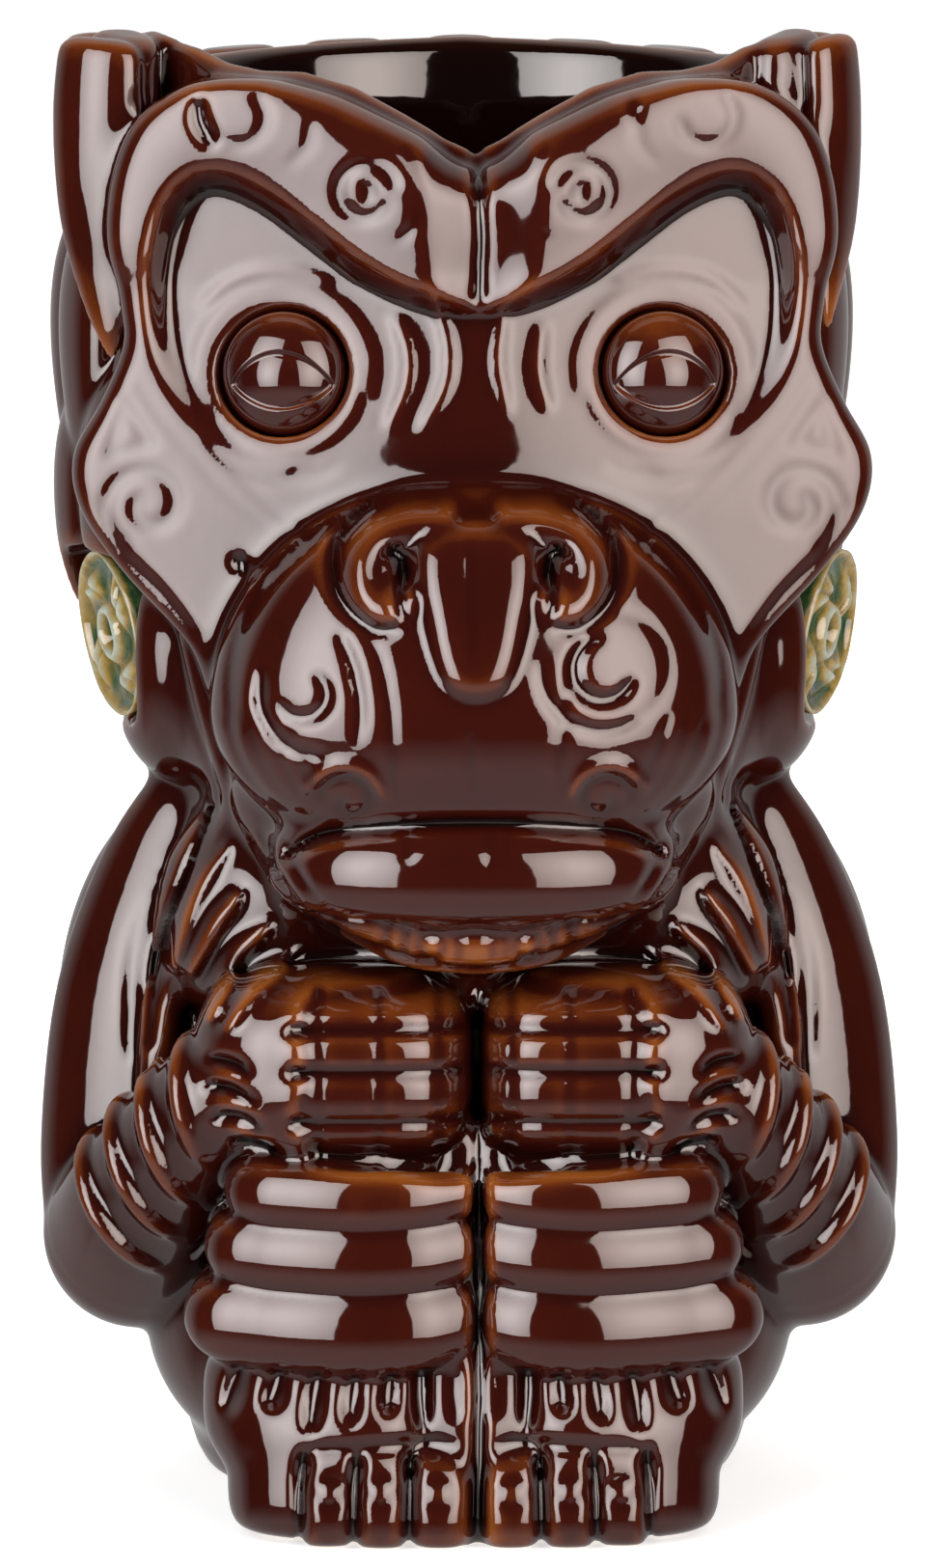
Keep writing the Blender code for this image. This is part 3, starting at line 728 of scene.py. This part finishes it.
def carve_mouth(front):
    """The crease over the lip, cracks in the lip, and plain rings and bars across the teeth."""
    crease = [(-21, 75.6), (-16.4, 78.8), (-9, 80.2), (0, 80.6), (9, 80.2), (16.4, 78.8)]
    cuts = [([*crease, (21, 75.6)], 2, 0.9)]
    for x, top, bottom in ((1.6, 79.6, 75.8), (3.2, 79.8, 76.4), (-7.4, 79.6, 76.6)):
        cuts += [([(x, top), (x, bottom)], 1.4, 0.2)]
    draw(front.groove, cuts, sides=(1,))
    for x in (-9.6, -7.6, -1.9, 1.9, 3.2, 8.4, 10.6):
        front.groove([(x, tooth_line(x) + 1.5), (x, tooth_line(x) - 0.9)], 1.1, 0.6)
    for x in (-4.8, 5.6):
        front.groove(ring(x, 66.7, 1.35), 1.1, 0.6, closed=True)


def carve_hands(front):
    """Fingers, knuckle creases and the wrinkles at the wrist."""
    block = [(-1.6, 61.8), (10, 62), (17.8, 61.2), (19.4, 57.6), (18.9, 52.6), (19.7, 48)]
    block += [(18.6, 43.6), (16, 42), (10, 41.6), (-1.6, 41.8)]
    for side in (-1, 1):
        front.sink(mirrored_points(block, side), 0.9, 1.1)
    fingers, cuts = [], []
    for z, height in FINGERS:
        fingers += [([(19, z), (14, z), (8, z), (1.6, z - 0.2)], height * 1.25, 0.35)]
        for x in (17, 10.4, 3.9):
            cuts += [([(x, z + height * 0.4), (x, z - height * 0.4)], 1.3, 1.4)]
    for z in (57.2, 52.7, 47.2):
        cuts += [([(19.6, z), (14, z), (8, z), (1.6, z - 0.2)], 1.7, 1.8)]
    draw(front.ridge, fingers, tapered=False)
    draw(front.groove, cuts, tapered=False)
    wrist = [[(29, 53.6), (26.2, 53.4), (24.6, 52.4)], [(29.4, 50.4), (26.6, 50.6), (24, 49.4)]]
    wrist += [[(28.6, 47.2), (25.6, 47.6), (23.2, 46.2)], [(26.4, 44.6), (23.6, 44.4), (21.6, 43.4)]]
    draw(front.groove, [(points, 1.9, 1.2) for points in wrist])
    front.groove([(0.5, 60), (0.5, 40), (0.5, 20), (0.3, 0)], 1.5, 2)


def carve_body(front):
    """Fur ridges that fan from the chin to the shoulders, and the fold down each upper arm."""
    fur = [([(25.6, 70.4), (28.6, 66.4), (31.4, 60.6)], 3, 1.2)]
    fur += [([(22.4, 66.8), (26.2, 63.2), (29.2, 57.6)], 3.2, 1.3)]
    fur += [([(19.6, 64), (24, 61.4), (27.4, 56.8)], 2.6, 1)]
    fur += [([(27, 75.4), (30.6, 69.4), (33, 61)], 2.4, 0.8)]
    draw(front.ridge, fur)
    folds = [([(31.4, 80), (34.4, 73.6), (36.2, 67.6), (37.8, 60.6), (38, 50)], 2.6, 1.3)]
    folds += [([(28.4, 79), (31.2, 72.6), (33.6, 66), (35.2, 58), (36, 50)], 2, 1.2)]
    draw(front.groove, folds)


def carve_feet(front):
    """The fringe over each foot, the toes and their nails."""
    cuts = [([(2, 11.4), (9, 11.6), (18, 11.2)], 2.6, 0.4)]
    for i, x in enumerate((2.4, 5.8, 9.4, 13.2, 17.2, 21.4, 25.6)):
        length = 5.4 + 1.3 * math.sin(i * 2.1)
        lean = 0.09 * (x - 8)
        cuts += [([(x - 0.2, 19.4), (x + lean * 0.4, 17), (x + lean, 19.8 - length)], 3, 0.6)]
    for x in (7.2, 13.1, 18.9):
        cuts += [([(x - 0.2, 11), (x, 6.4), (x + 0.2, -1)], 1.7, 1.1)]
    draw(front.groove, cuts)
    for x, z in ((4, 6.4), (10.3, 6.6), (16, 6.4)):
        for side in (-1, 1):
            front.groove(ring(side * x, z, 1.5), 1.1, 0.35, closed=True)


# ---- From field to mesh ----


CORNERS = [(a, b, c) for a in (0, 1) for b in (0, 1) for c in (0, 1)]


def surface_mesh(clay, name):
    """A quad mesh of the field's zero surface: one point in each cell that the surface crosses."""
    field = clay.field
    inside = field < 0
    shape = [n - 1 for n in field.shape]

    def shifted(array, corner):
        return array[tuple(slice(o, o + n) for o, n in zip(corner, shape))]

    count = sum(shifted(inside, corner).astype(np.int8) for corner in CORNERS)
    cells = np.argwhere((count > 0) & (count < 8))
    number = np.full(shape, -1, np.int32)
    number[tuple(cells.T)] = np.arange(len(cells))

    total = np.zeros((len(cells), 3), np.float64)
    hits = np.zeros(len(cells), np.int32)
    for axis in range(3):
        step = np.eye(3, dtype=int)[axis]
        for corner in CORNERS:
            if corner[axis]:
                continue
            start = cells + corner
            a = field[tuple(start.T)]
            b = field[tuple((start + step).T)]
            cross = (a < 0) != (b < 0)
            share = np.where(cross, a / np.where(cross, a - b, 1.0), 0.0)
            total += (np.array(corner) + step * share[:, None]) * cross[:, None]
            hits += cross
    low = np.array([axis[0] for axis in clay.axes])
    points = low + (cells + total / hits[:, None]) * clay.cell

    quads = []
    for axis in range(3):
        others = [i for i in range(3) if i != axis]
        step = np.eye(3, dtype=int)[axis]
        near = tuple(slice(1 if i != axis else 0, n) for i, n in enumerate(shape))
        far = tuple(slice(1, n if i != axis else n + 1) for i, n in enumerate(shape))
        edge = np.argwhere(inside[near] != inside[far])
        outward = inside[near][tuple(edge.T)]
        base = edge + 1 - step
        ring = []
        for back in ((1, 1), (0, 1), (0, 0), (1, 0)):
            offset = np.zeros(3, int)
            offset[others] = back
            ring.append(number[tuple((base - offset).T)])
        quad = np.stack(ring, axis=1)
        keep_order = ~outward if axis == 1 else outward
        quad[~keep_order] = quad[~keep_order][:, ::-1]
        quads.append(quad)
    quads = np.vstack(quads)
    quads = quads[(quads >= 0).all(axis=1)]
    return new_mesh(name, points, quads), points


def new_mesh(name, points, faces):
    """A smooth-shaded mesh from points in design millimetres and faces of one size."""
    faces = np.asarray(faces, np.int32)
    size = faces.shape[1]
    mesh = bpy.data.meshes.new(name)
    mesh.vertices.add(len(points))
    mesh.vertices.foreach_set("co", (np.asarray(points) * UNIT).astype(np.float32).ravel())
    mesh.loops.add(faces.size)
    mesh.loops.foreach_set("vertex_index", faces.ravel())
    mesh.polygons.add(len(faces))
    mesh.polygons.foreach_set("loop_start", np.arange(0, faces.size, size, dtype=np.int32))
    mesh.update(calc_edges=True)
    mesh.shade_smooth()
    return mesh


def blurred(field, reach):
    """The field averaged over a box that reaches this many cells each way, twice."""
    out = field
    for _ in range(2):
        for axis in range(3):
            pad = [(reach + 1, reach) if i == axis else (0, 0) for i in range(3)]
            total = np.cumsum(np.pad(out, pad, mode="edge"), axis=axis, dtype=np.float64)
            ahead = [slice(None)] * 3
            behind = [slice(None)] * 3
            ahead[axis] = slice(2 * reach + 1, None)
            behind[axis] = slice(0, -(2 * reach + 1))
            out = ((total[tuple(ahead)] - total[tuple(behind)]) / (2 * reach + 1)).astype(np.float32)
    return out


def sampled(clay, field, points):
    """The field at points, by trilinear interpolation."""
    low = np.array([axis[0] for axis in clay.axes])
    position = (points - low) / clay.cell
    index = np.clip(position.astype(int), 0, np.array(field.shape) - 2)
    share = position - index
    value = 0.0
    for corner in CORNERS:
        weight = np.prod(np.where(corner, share, 1 - share), axis=1)
        value = value + weight * field[tuple((index + corner).T)]
    return value


def field_normals(clay, points):
    """Unit normals from the slope of the field, which shade more evenly than the quads do."""
    smooth = softened(clay.field)
    normals = np.zeros_like(points)
    for axis in range(3):
        step = np.eye(3)[axis] * clay.cell
        ahead = sampled(clay, smooth, points + step)
        normals[:, axis] = ahead - sampled(clay, smooth, points - step)
    return normals / np.maximum(np.linalg.norm(normals, axis=1), 1e-6)[:, None]


def add_object(name, data):
    made = bpy.data.objects.new(name, data)
    bpy.context.scene.collection.objects.link(made)
    return made


def add_attribute(mesh, name, values):
    attribute = mesh.attributes.new(name, "FLOAT", "POINT")
    attribute.data.foreach_set("value", np.asarray(values, np.float32))


def middle_of(node):
    low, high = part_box(node)
    return (low + high) / 2 / UNIT


EYES = {name: middle_of(name) for name in ("eye_left", "eye_right")}
PLUGS = {name: middle_of(name) for name in ("ear_plug_left", "ear_plug_right")}


def eye_radius(name):
    low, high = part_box(name)
    return (high.z - low.z) / 2 / UNIT


def cut_sockets(clay):
    """Room for the eyeballs and the ear plugs, which are pieces of their own."""
    for name, centre in EYES.items():
        radius = eye_radius(name) + EYE_GAP
        axis = (math.copysign(CHEEK_SLOPE, centre.x), -1, 0)
        clay.cut_away(ball(centre, (EYE_BULGE + EYE_GAP, radius, radius), axis), 0.6)
    for centre in PLUGS.values():
        out = plug_axes(centre)[2]
        radius = PLUG_RADIUS + PLUG_GAP
        seat = ball(centre + out * 3, (6, radius, radius), out, 4)
        clay.cut_away(seat, 0.8)


def sculpt_body():
    clay = Clay((-50.5, -54.0, -2.4), (50.5, 54.0, 168.0), CELL)
    add_vessel(clay)
    add_hair(clay)
    add_mask(clay)
    add_ears(clay)
    add_muzzle(clay)
    add_mouth(clay)
    add_arms(clay)
    add_legs(clay)
    add_hands(clay)
    add_bracelets(clay)
    add_temple_locks(clay)

    front = Sheet(clay.axes[0], clay.axes[2])
    carve_face(front)
    carve_brow_marks(front)
    for eye in EYES.values():
        carve_eye_marks(front, eye)
    carve_nose_bridge(front)
    carve_cheek_marks(front)
    carve_nose(front)
    carve_muzzle(front)
    carve_mouth(front)
    carve_hands(front)
    carve_body(front)
    carve_feet(front)
    apply_front(clay, front)

    cut_sockets(clay)
    hollow = hollow_out(clay)
    clay.field = softened(clay.field)  # rounds edges and fills corners, as glaze does
    flatten_foot(clay)
    return clay, hollow


def thin_glaze(points):
    """Where the glaze was wiped thin: most on the teeth, and some on the fingers and toes."""
    x, y, z = np.abs(points[:, 0]), points[:, 1], points[:, 2]
    in_front = 1 - smooth_step(y, -38.0, -35.0)
    from_teeth = np.abs(z - tooth_line(x))
    teeth = (1 - smooth_step(x, 12.0, 15.0)) * (1 - smooth_step(from_teeth, 1.2, 2.0))
    fingers = (1 - smooth_step(x, 18.0, 20.0)) * (1 - smooth_step(np.abs(z - 52.4), 8.6, 10.0))
    toes = (1 - smooth_step(x, 17.0, 20.0)) * (1 - smooth_step(z, 9.0, 12.0))
    return in_front * np.maximum(teeth * 0.8, np.maximum(fingers, toes) * 0.08)


def make_body():
    clay, hollow = sculpt_body()
    mesh, points = surface_mesh(clay, "mug_body_clay")
    fine = blurred(clay.field, max(1, round(0.9 / CELL)))
    broad = blurred(clay.field, max(1, round(2.6 / CELL)))
    add_attribute(mesh, "edge", sampled(clay, fine, points))
    add_attribute(mesh, "form", sampled(clay, broad, points))
    add_attribute(mesh, "thin", thin_glaze(points))
    # Painted shade: marks the walls inside the cup, which the glaze paints near black.
    add_attribute(mesh, "inside", 1 - smooth_step(sampled(clay, hollow, points), 0.3, 2.0))
    mesh.normals_split_custom_set_from_vertices(field_normals(clay, points))
    return add_object("glazed_body", mesh)


# ---- Eyes and ear plugs ----

PLUG_RADIUS = 9.4
PLUG_TURN, PLUG_LEAN = 20.0, 9.0  # degrees the plugs turn forward and dip
EYE_BULGE = 4.2
EYE_GAP, PLUG_GAP = 0.45, 0.5  # the room round each in its socket


def plug_axes(centre):
    """Across, up and out for a plug's face, which turns a little forward and dips."""
    side = 1 if centre[0] > 0 else -1
    turn, lean = math.radians(PLUG_TURN), math.radians(PLUG_LEAN)
    out = Vector((side * math.cos(turn), -math.sin(turn), -math.sin(lean))).normalized()
    across = out.cross(Vector((0, 0, 1))).normalized()
    return across, across.cross(out), out


def polar_points(rings, spokes, place):
    """Points on rings round a middle, and the triangles between them. place(share, angle) is 3-D."""
    points = [place(0.0, 0.0)]
    for ring in range(1, rings + 1):
        for spoke in range(spokes):
            points.append(place(ring / rings, 2 * math.pi * spoke / spokes))
    faces = []
    for spoke in range(spokes):
        after = (spoke + 1) % spokes
        faces.append((0, 1 + spoke, 1 + after))
        for ring in range(1, rings):
            inner = 1 + (ring - 1) * spokes
            outer = inner + spokes
            faces.append((inner + spoke, outer + spoke, outer + after))
            faces.append((inner + spoke, outer + after, inner + after))
    last = 1 + (rings - 1) * spokes
    points.append(place(-1.0, 0.0))
    for spoke in range(spokes):
        faces.append((last + (spoke + 1) % spokes, last + spoke, len(points) - 1))
    return points, faces


def almond(u, v):
    """How far (u, v) on an eye lies inside the opening between the lids, in millimetres."""
    middle = -1.1
    half = 5.7
    reach = np.clip(1 - (np.abs(u + 0.3) / half) ** 2.0, 0.0, 1.0)
    top, bottom = middle + 4.0 * reach**0.8, middle - 2.7 * reach**0.9
    return min(top - v, v - bottom, half - abs(u + 0.3))


def make_eye(name):
    """A low dome with raised lids round an almond opening, set square to the cheek."""
    centre = EYES[name]
    side = 1 if centre.x > 0 else -1
    turn = math.atan(CHEEK_SLOPE)
    out = Vector((side * math.sin(turn), -math.cos(turn), 0.0))
    across = Vector((math.cos(turn), side * math.sin(turn), 0.0))
    radius = eye_radius(name)

    def place(share, angle):
        if share < 0:
            return centre - out * EYE_BULGE * 0.9
        bend = share * math.radians(120)
        u, v = radius * math.sin(bend) * math.cos(angle), radius * math.sin(bend) * math.sin(angle)
        depth = 0.0
        if bend < math.pi / 2:
            opening = smooth_step(almond(side * u, v), -0.1, 0.6)
            bulge = max(1 - (u / 5.4) ** 2 - ((v + 0.5) / 3.6) ** 2, 0.0)
            depth = (0.8 - 0.75 * bulge) * opening
        return centre + across * u + Vector((0, 0, v)) + out * (EYE_BULGE * math.cos(bend) - depth)

    rings, spokes = ((90, 144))
    points, faces = polar_points(rings, spokes, place)
    return add_object(name + "_ball", new_mesh(name + "_ball", points, faces))


def plug_relief(share, angle, side):
    """Height of a plug's face: a rim, four curled leaves and a raised eye with a hole."""
    swirl = angle * side + 1.1 * share
    leaf = 0.5 + 0.5 * math.cos(4 * swirl)
    leaves = (0.2 + leaf**1.5) * math.exp(-(((share - 0.6) / 0.2) ** 2))
    vein = -0.7 * math.exp(-((math.sin(2 * swirl) / 0.16) ** 2) - ((share - 0.6) / 0.18) ** 2)
    rim = 1.15 * math.exp(-(((share - 0.9) / 0.07) ** 2))
    boss = 1.3 * math.exp(-(((share - 0.25) / 0.09) ** 2))
    hole = -1.6 * math.exp(-((share / 0.13) ** 2))
    return 1.5 * leaves + 1.2 * vein + rim + 1.2 * boss + 1.4 * hole


def make_plug(name):
    """A thick disc with a carved face."""
    centre = PLUGS[name]
    side = 1 if centre.x > 0 else -1
    across, up, out = plug_axes(centre)
    low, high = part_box(name)
    outermost = max(abs(low.x), abs(high.x)) / UNIT
    face = outermost - abs(centre.x) - PLUG_RADIUS * math.sin(math.radians(PLUG_TURN)) - 0.9
    heights = []

    def place(share, angle):
        if share < 0:
            heights.append(0.0)
            return centre - out * 3.0
        body = min(share / 0.92, 1.0)
        drop = max(share - 0.92, 0.0) / 0.08
        radial = PLUG_RADIUS * body
        height = plug_relief(min(share, 0.92), angle, side) if drop == 0 else 0.9 - 4.0 * drop
        heights.append(height if drop == 0 else 0.2)
        direction = across * math.cos(angle) * side + up * math.sin(angle)
        return centre + direction * radial + out * (face - 1.0 + height)

    rings, spokes = ((75, 160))
    points, faces = polar_points(rings, spokes, place)
    mesh = new_mesh(name + "_disc", points, faces)
    add_attribute(mesh, "relief", heights)
    return add_object(name + "_disc", mesh)


# ---- Materials ----


class Nodes:
    """A node tree. Each method adds a node, joins its inputs and returns one of its outputs."""

    def __init__(self, owner):
        owner.use_nodes = True
        self.nodes = owner.node_tree.nodes
        self.links = owner.node_tree.links

    def join(self, value, socket):
        if isinstance(value, (int, float, tuple)):
            socket.default_value = value
        else:
            self.links.new(value, socket)

    def add(self, kind, inputs=None, output=0, **settings):
        node = self.nodes.new("ShaderNode" + kind)
        for name, value in settings.items():
            setattr(node, name, value)
        for socket, value in (inputs or {}).items():
            self.join(value, node.inputs[socket])
        return node.outputs[output]

    def attribute(self, name):
        return self.add("Attribute", output="Fac", attribute_name=name)

    def maths(self, operation, *values):
        return self.add("Math", dict(enumerate(values)), operation=operation)

    def spread(self, value, low, high, to_low=0.0, to_high=1.0):
        inputs = {"Value": value, "From Min": low, "From Max": high}
        return self.add("MapRange", {**inputs, "To Min": to_low, "To Max": to_high}, "Result")

    def noise(self, scale, detail=3.0, roughness=0.5):
        inputs = {"Vector": self.add("TexCoord", output="Object"), "Scale": scale}
        return self.add("TexNoise", {**inputs, "Detail": detail, "Roughness": roughness}, "Fac")

    def part_of(self, vector, axis):
        return self.add("SeparateXYZ", {0: vector}, axis)

    def geometry(self, kind, axis):
        return self.part_of(self.add("NewGeometry", output=kind), axis)

    def ramp(self, value, stops):
        node = self.nodes.new("ShaderNodeValToRGB")
        elements = node.color_ramp.elements
        while len(elements) < len(stops):
            elements.new(0.5)
        for element, (position, colour) in zip(elements, stops):
            element.position = position
            element.color = (*colour, 1.0)
        self.join(value, node.inputs["Fac"])
        return node.outputs["Color"]

    def mix(self, share, first, second):
        colours = [(*value, 1.0) if isinstance(value, tuple) else value for value in (first, second)]
        return self.add("Mix", {"Factor": share, 6: colours[0], 7: colours[1]}, 2, data_type="RGBA")


class Material(Nodes):
    """A glaze or paint on a Principled shader."""

    def __init__(self, name):
        self.made = bpy.data.materials.new(name)
        super().__init__(self.made)
        self.inputs = self.nodes["Principled BSDF"].inputs

    def finish(self, colour, roughness, ior=1.7):
        self.join(colour, self.inputs["Base Color"])
        self.join(roughness, self.inputs["Roughness"])
        self.inputs["IOR"].default_value = ior
        self.inputs["Specular Tint"].default_value = (1.0, 0.93, 0.915, 1.0)
        return self.made


BROWN_STOPS = [
    (0.0, (0.0024, 0.0006, 0.0004)),
    (0.25, (0.0110, 0.0015, 0.0010)),
    (0.48, (0.0195, 0.0023, 0.0014)),
    (0.64, (0.0270, 0.0036, 0.0016)),
    (0.80, (0.0800, 0.0165, 0.0030)),
    (1.0, (0.1700, 0.0480, 0.0075)),
]


def brown_glaze():
    """Oxblood glaze: amber where it runs thin on sharp edges, nearly black in hollows. Surfaces that face up
    are painted lighter, a painted light from above, and the walls inside the cup are painted near black, a
    painted shade.
    """
    glaze = Material("brown_glaze")
    form = glaze.attribute("form")
    form = glaze.maths("MINIMUM", *(glaze.maths("MULTIPLY", form, share) for share in (0.10, 0.5)))
    curve = glaze.maths("MULTIPLY_ADD", glaze.attribute("edge"), 2.2, form)
    curve = glaze.maths("MULTIPLY_ADD", glaze.attribute("thin"), 0.75, curve)
    blotches = glaze.spread(glaze.noise(90.0), 0.3, 0.7, -0.12, 0.12)
    # Painted light: surfaces that face up are painted lighter, as if lit from above.
    painted_top_light = glaze.spread(glaze.geometry("Normal", "Z"), 0.35, 0.95, 0.0, 0.7)
    thickness = glaze.maths("ADD", glaze.maths("ADD", curve, blotches), painted_top_light)
    colour = glaze.ramp(glaze.spread(thickness, -1.35, 1.45), BROWN_STOPS)
    # Painted shade: the walls inside the cup are painted near black.
    inside = glaze.maths("MULTIPLY", glaze.attribute("inside"), 0.93)
    colour = glaze.mix(inside, colour, BROWN_STOPS[0][1])
    specks = glaze.spread(glaze.noise(1500.0, 1.0), 0.74, 0.80, 0.0, 0.5)
    colour = glaze.mix(specks, colour, (0.012, 0.003, 0.002))
    height = glaze.geometry("Position", "Z")
    facing_down = glaze.spread(glaze.geometry("Normal", "Z"), -0.9, -0.97, 0.0, 1.0)
    dry = glaze.maths("MULTIPLY", glaze.spread(height, 0.0006, 0.0003), facing_down)
    colour = glaze.mix(dry, colour, (0.55, 0.45, 0.35))
    waves = {"Strength": 0.05, "Distance": 0.0005, "Height": glaze.noise(260.0, 2.0)}
    glaze.join(glaze.add("Bump", waves, "Normal"), glaze.inputs["Normal"])
    return glaze.finish(colour, glaze.spread(dry, 0.0, 1.0, 0.05, 0.9))


def eye_glaze():
    """The same brown glaze over a smooth ball, with the side that faces up painted lighter, a painted light
    from above.
    """
    glaze = Material("eye_glaze")
    blotches = glaze.noise(140.0)
    # Painted light: the side of the ball that faces up is painted lighter, as if lit from above.
    painted_top_light = glaze.spread(glaze.geometry("Normal", "Z"), 0.1, 0.9, 0.0, 0.35)
    thickness = glaze.maths("ADD", glaze.spread(blotches, 0.3, 0.7, 0.42, 0.62), painted_top_light)
    return glaze.finish(glaze.ramp(thickness, BROWN_STOPS), 0.05)


def jade_glaze():
    """Celadon on the raised parts, honey on slopes, deep green in hollows and a dark middle."""
    glaze = Material("jade_glaze")
    wander = glaze.spread(glaze.noise(420.0, 4.0, 0.6), 0.3, 0.7, -0.35, 0.35)
    height = glaze.maths("ADD", glaze.attribute("relief"), wander)
    stops = [
        (0.0, (0.002, 0.002, 0.001)),
        (0.20, (0.007, 0.018, 0.006)),
        (0.40, (0.022, 0.050, 0.018)),
        (0.54, (0.110, 0.080, 0.020)),
        (0.70, (0.240, 0.160, 0.045)),
        (0.86, (0.240, 0.250, 0.180)),
        (1.0, (0.290, 0.310, 0.270)),
    ]
    colour = glaze.ramp(glaze.spread(height, -0.5, 1.7), stops)
    honey = glaze.spread(glaze.noise(160.0, 2.0), 0.54, 0.66, 0.0, 0.45)
    colour = glaze.mix(honey, colour, (0.20, 0.125, 0.030))
    return glaze.finish(colour, 0.07)


# ---- Stage ----


def stand_off(name, data, target, azimuth, elevation, distance):
    """Adds a lamp or a camera that faces a target. Azimuth 0 is the figure's front."""
    turn, rise = math.radians(azimuth), math.radians(elevation)
    level = math.cos(rise)
    out = Vector((math.sin(turn) * level, -math.cos(turn) * level, math.sin(rise)))
    made = add_object(name, data)
    made.location = target + out * distance
    made.rotation_euler = (-out).to_track_quat("-Z", "Y").to_euler()
    return made


def emitter(name, azimuth, elevation, distance, size, watts):
    """An area light that faces the mug's middle."""
    light = bpy.data.lights.new(name, "AREA")
    light.shape = "RECTANGLE"
    light.size, light.size_y = size
    light.energy = watts
    fade_to_edges(light)
    return stand_off(name, light, Vector((0, 0, 0.08)), azimuth, elevation, distance)


def fade_to_edges(light):
    """A softbox is brightest in its middle, and fades towards its frame."""
    fade = Nodes(light)
    across = {0: fade.add("TexCoord", output="UV"), 1: (0.5, 0.5, 0.0)}
    from_middle = fade.add("VectorMath", across, "Value", operation="DISTANCE")
    level = fade.spread(from_middle, 0.1, 0.6, 1.2, 0.62)
    fade.join(level, fade.nodes["Emission"].inputs["Strength"])


def build_floor():
    """A pale table that glossy glaze doesn't mirror, so the tall softboxes show instead."""
    points = [(-3000, -3000, 0), (3000, -3000, 0), (3000, 3000, 0), (-3000, 3000, 0)]
    floor = add_object("floor", new_mesh("floor", points, [(0, 1, 2, 3)]))
    paint = Material("floor_paint")
    squares = [paint.maths("POWER", paint.geometry("Position", axis), 2.0) for axis in "XY"]
    away = paint.maths("SQRT", paint.maths("ADD", *squares))
    paint.join(paint.spread(away, 0.1, 0.55, 0.55, 1.0), paint.inputs["Emission Strength"])
    white = (1.0, 1.0, 1.0, 1.0)
    paint.join(white, paint.inputs["Emission Color"])
    floor.data.materials.append(paint.finish((0.8, 0.8, 0.8, 1.0), 1.0))
    floor.visible_glossy = False


def build_lights():
    emitter("left_box", -40.0, 13.0, 1.3, (0.92, 1.7), 31.0)
    right = emitter("right_box", 36.0, 13.0, 1.3, (1.0, 1.7), 30.0)
    right.data.color = (1.0, 0.92, 0.87)
    overhead = emitter("overhead", 0.0, 80.0, 1.4, (1.6, 1.6), 10.0)
    overhead.visible_glossy = False


def build_world():
    """A dark studio in front of the mug, with a white wall behind it and a white table."""
    world = bpy.data.worlds.new("studio")
    bpy.context.scene.world = world
    sky = Nodes(world)
    toward = sky.add("TexCoord", output="Generated")
    strength = sky.add("LightPath", output="Is Camera Ray")
    for axis, low, high in (("Y", 0.0, 0.45), ("Z", -0.30, -0.62)):
        level = sky.spread(sky.part_of(toward, axis), low, high, 0.02, 0.5)
        strength = sky.maths("MAXIMUM", strength, level)
    background = sky.nodes["Background"].inputs
    sky.join((1.0, 1.0, 1.0, 1.0), background["Color"])
    sky.join(strength, background["Strength"])


def place_camera():
    data = bpy.data.cameras.new("camera")
    data.sensor_fit = "VERTICAL"
    data.sensor_height = 36.0
    data.lens = 202.7
    target = Vector((0, AXIS_Y * 0.7, 78.6)) * UNIT
    bpy.context.scene.camera = stand_off("camera", data, target, -1.0, 7.0, 1.0)


# ---- Assembly ----


def install(piece, node, material):
    piece.data.materials.append(material)
    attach(piece, "root")
    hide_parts(node)


install(make_body(), "mug_body", brown_glaze())
eye_material, plug_material = eye_glaze(), jade_glaze()
for node in EYES:
    install(make_eye(node), node, eye_material)
for node in PLUGS:
    install(make_plug(node), node, plug_material)

build_floor()
build_lights()
build_world()
place_camera()
bpy.context.scene.view_settings.view_transform = "Standard"
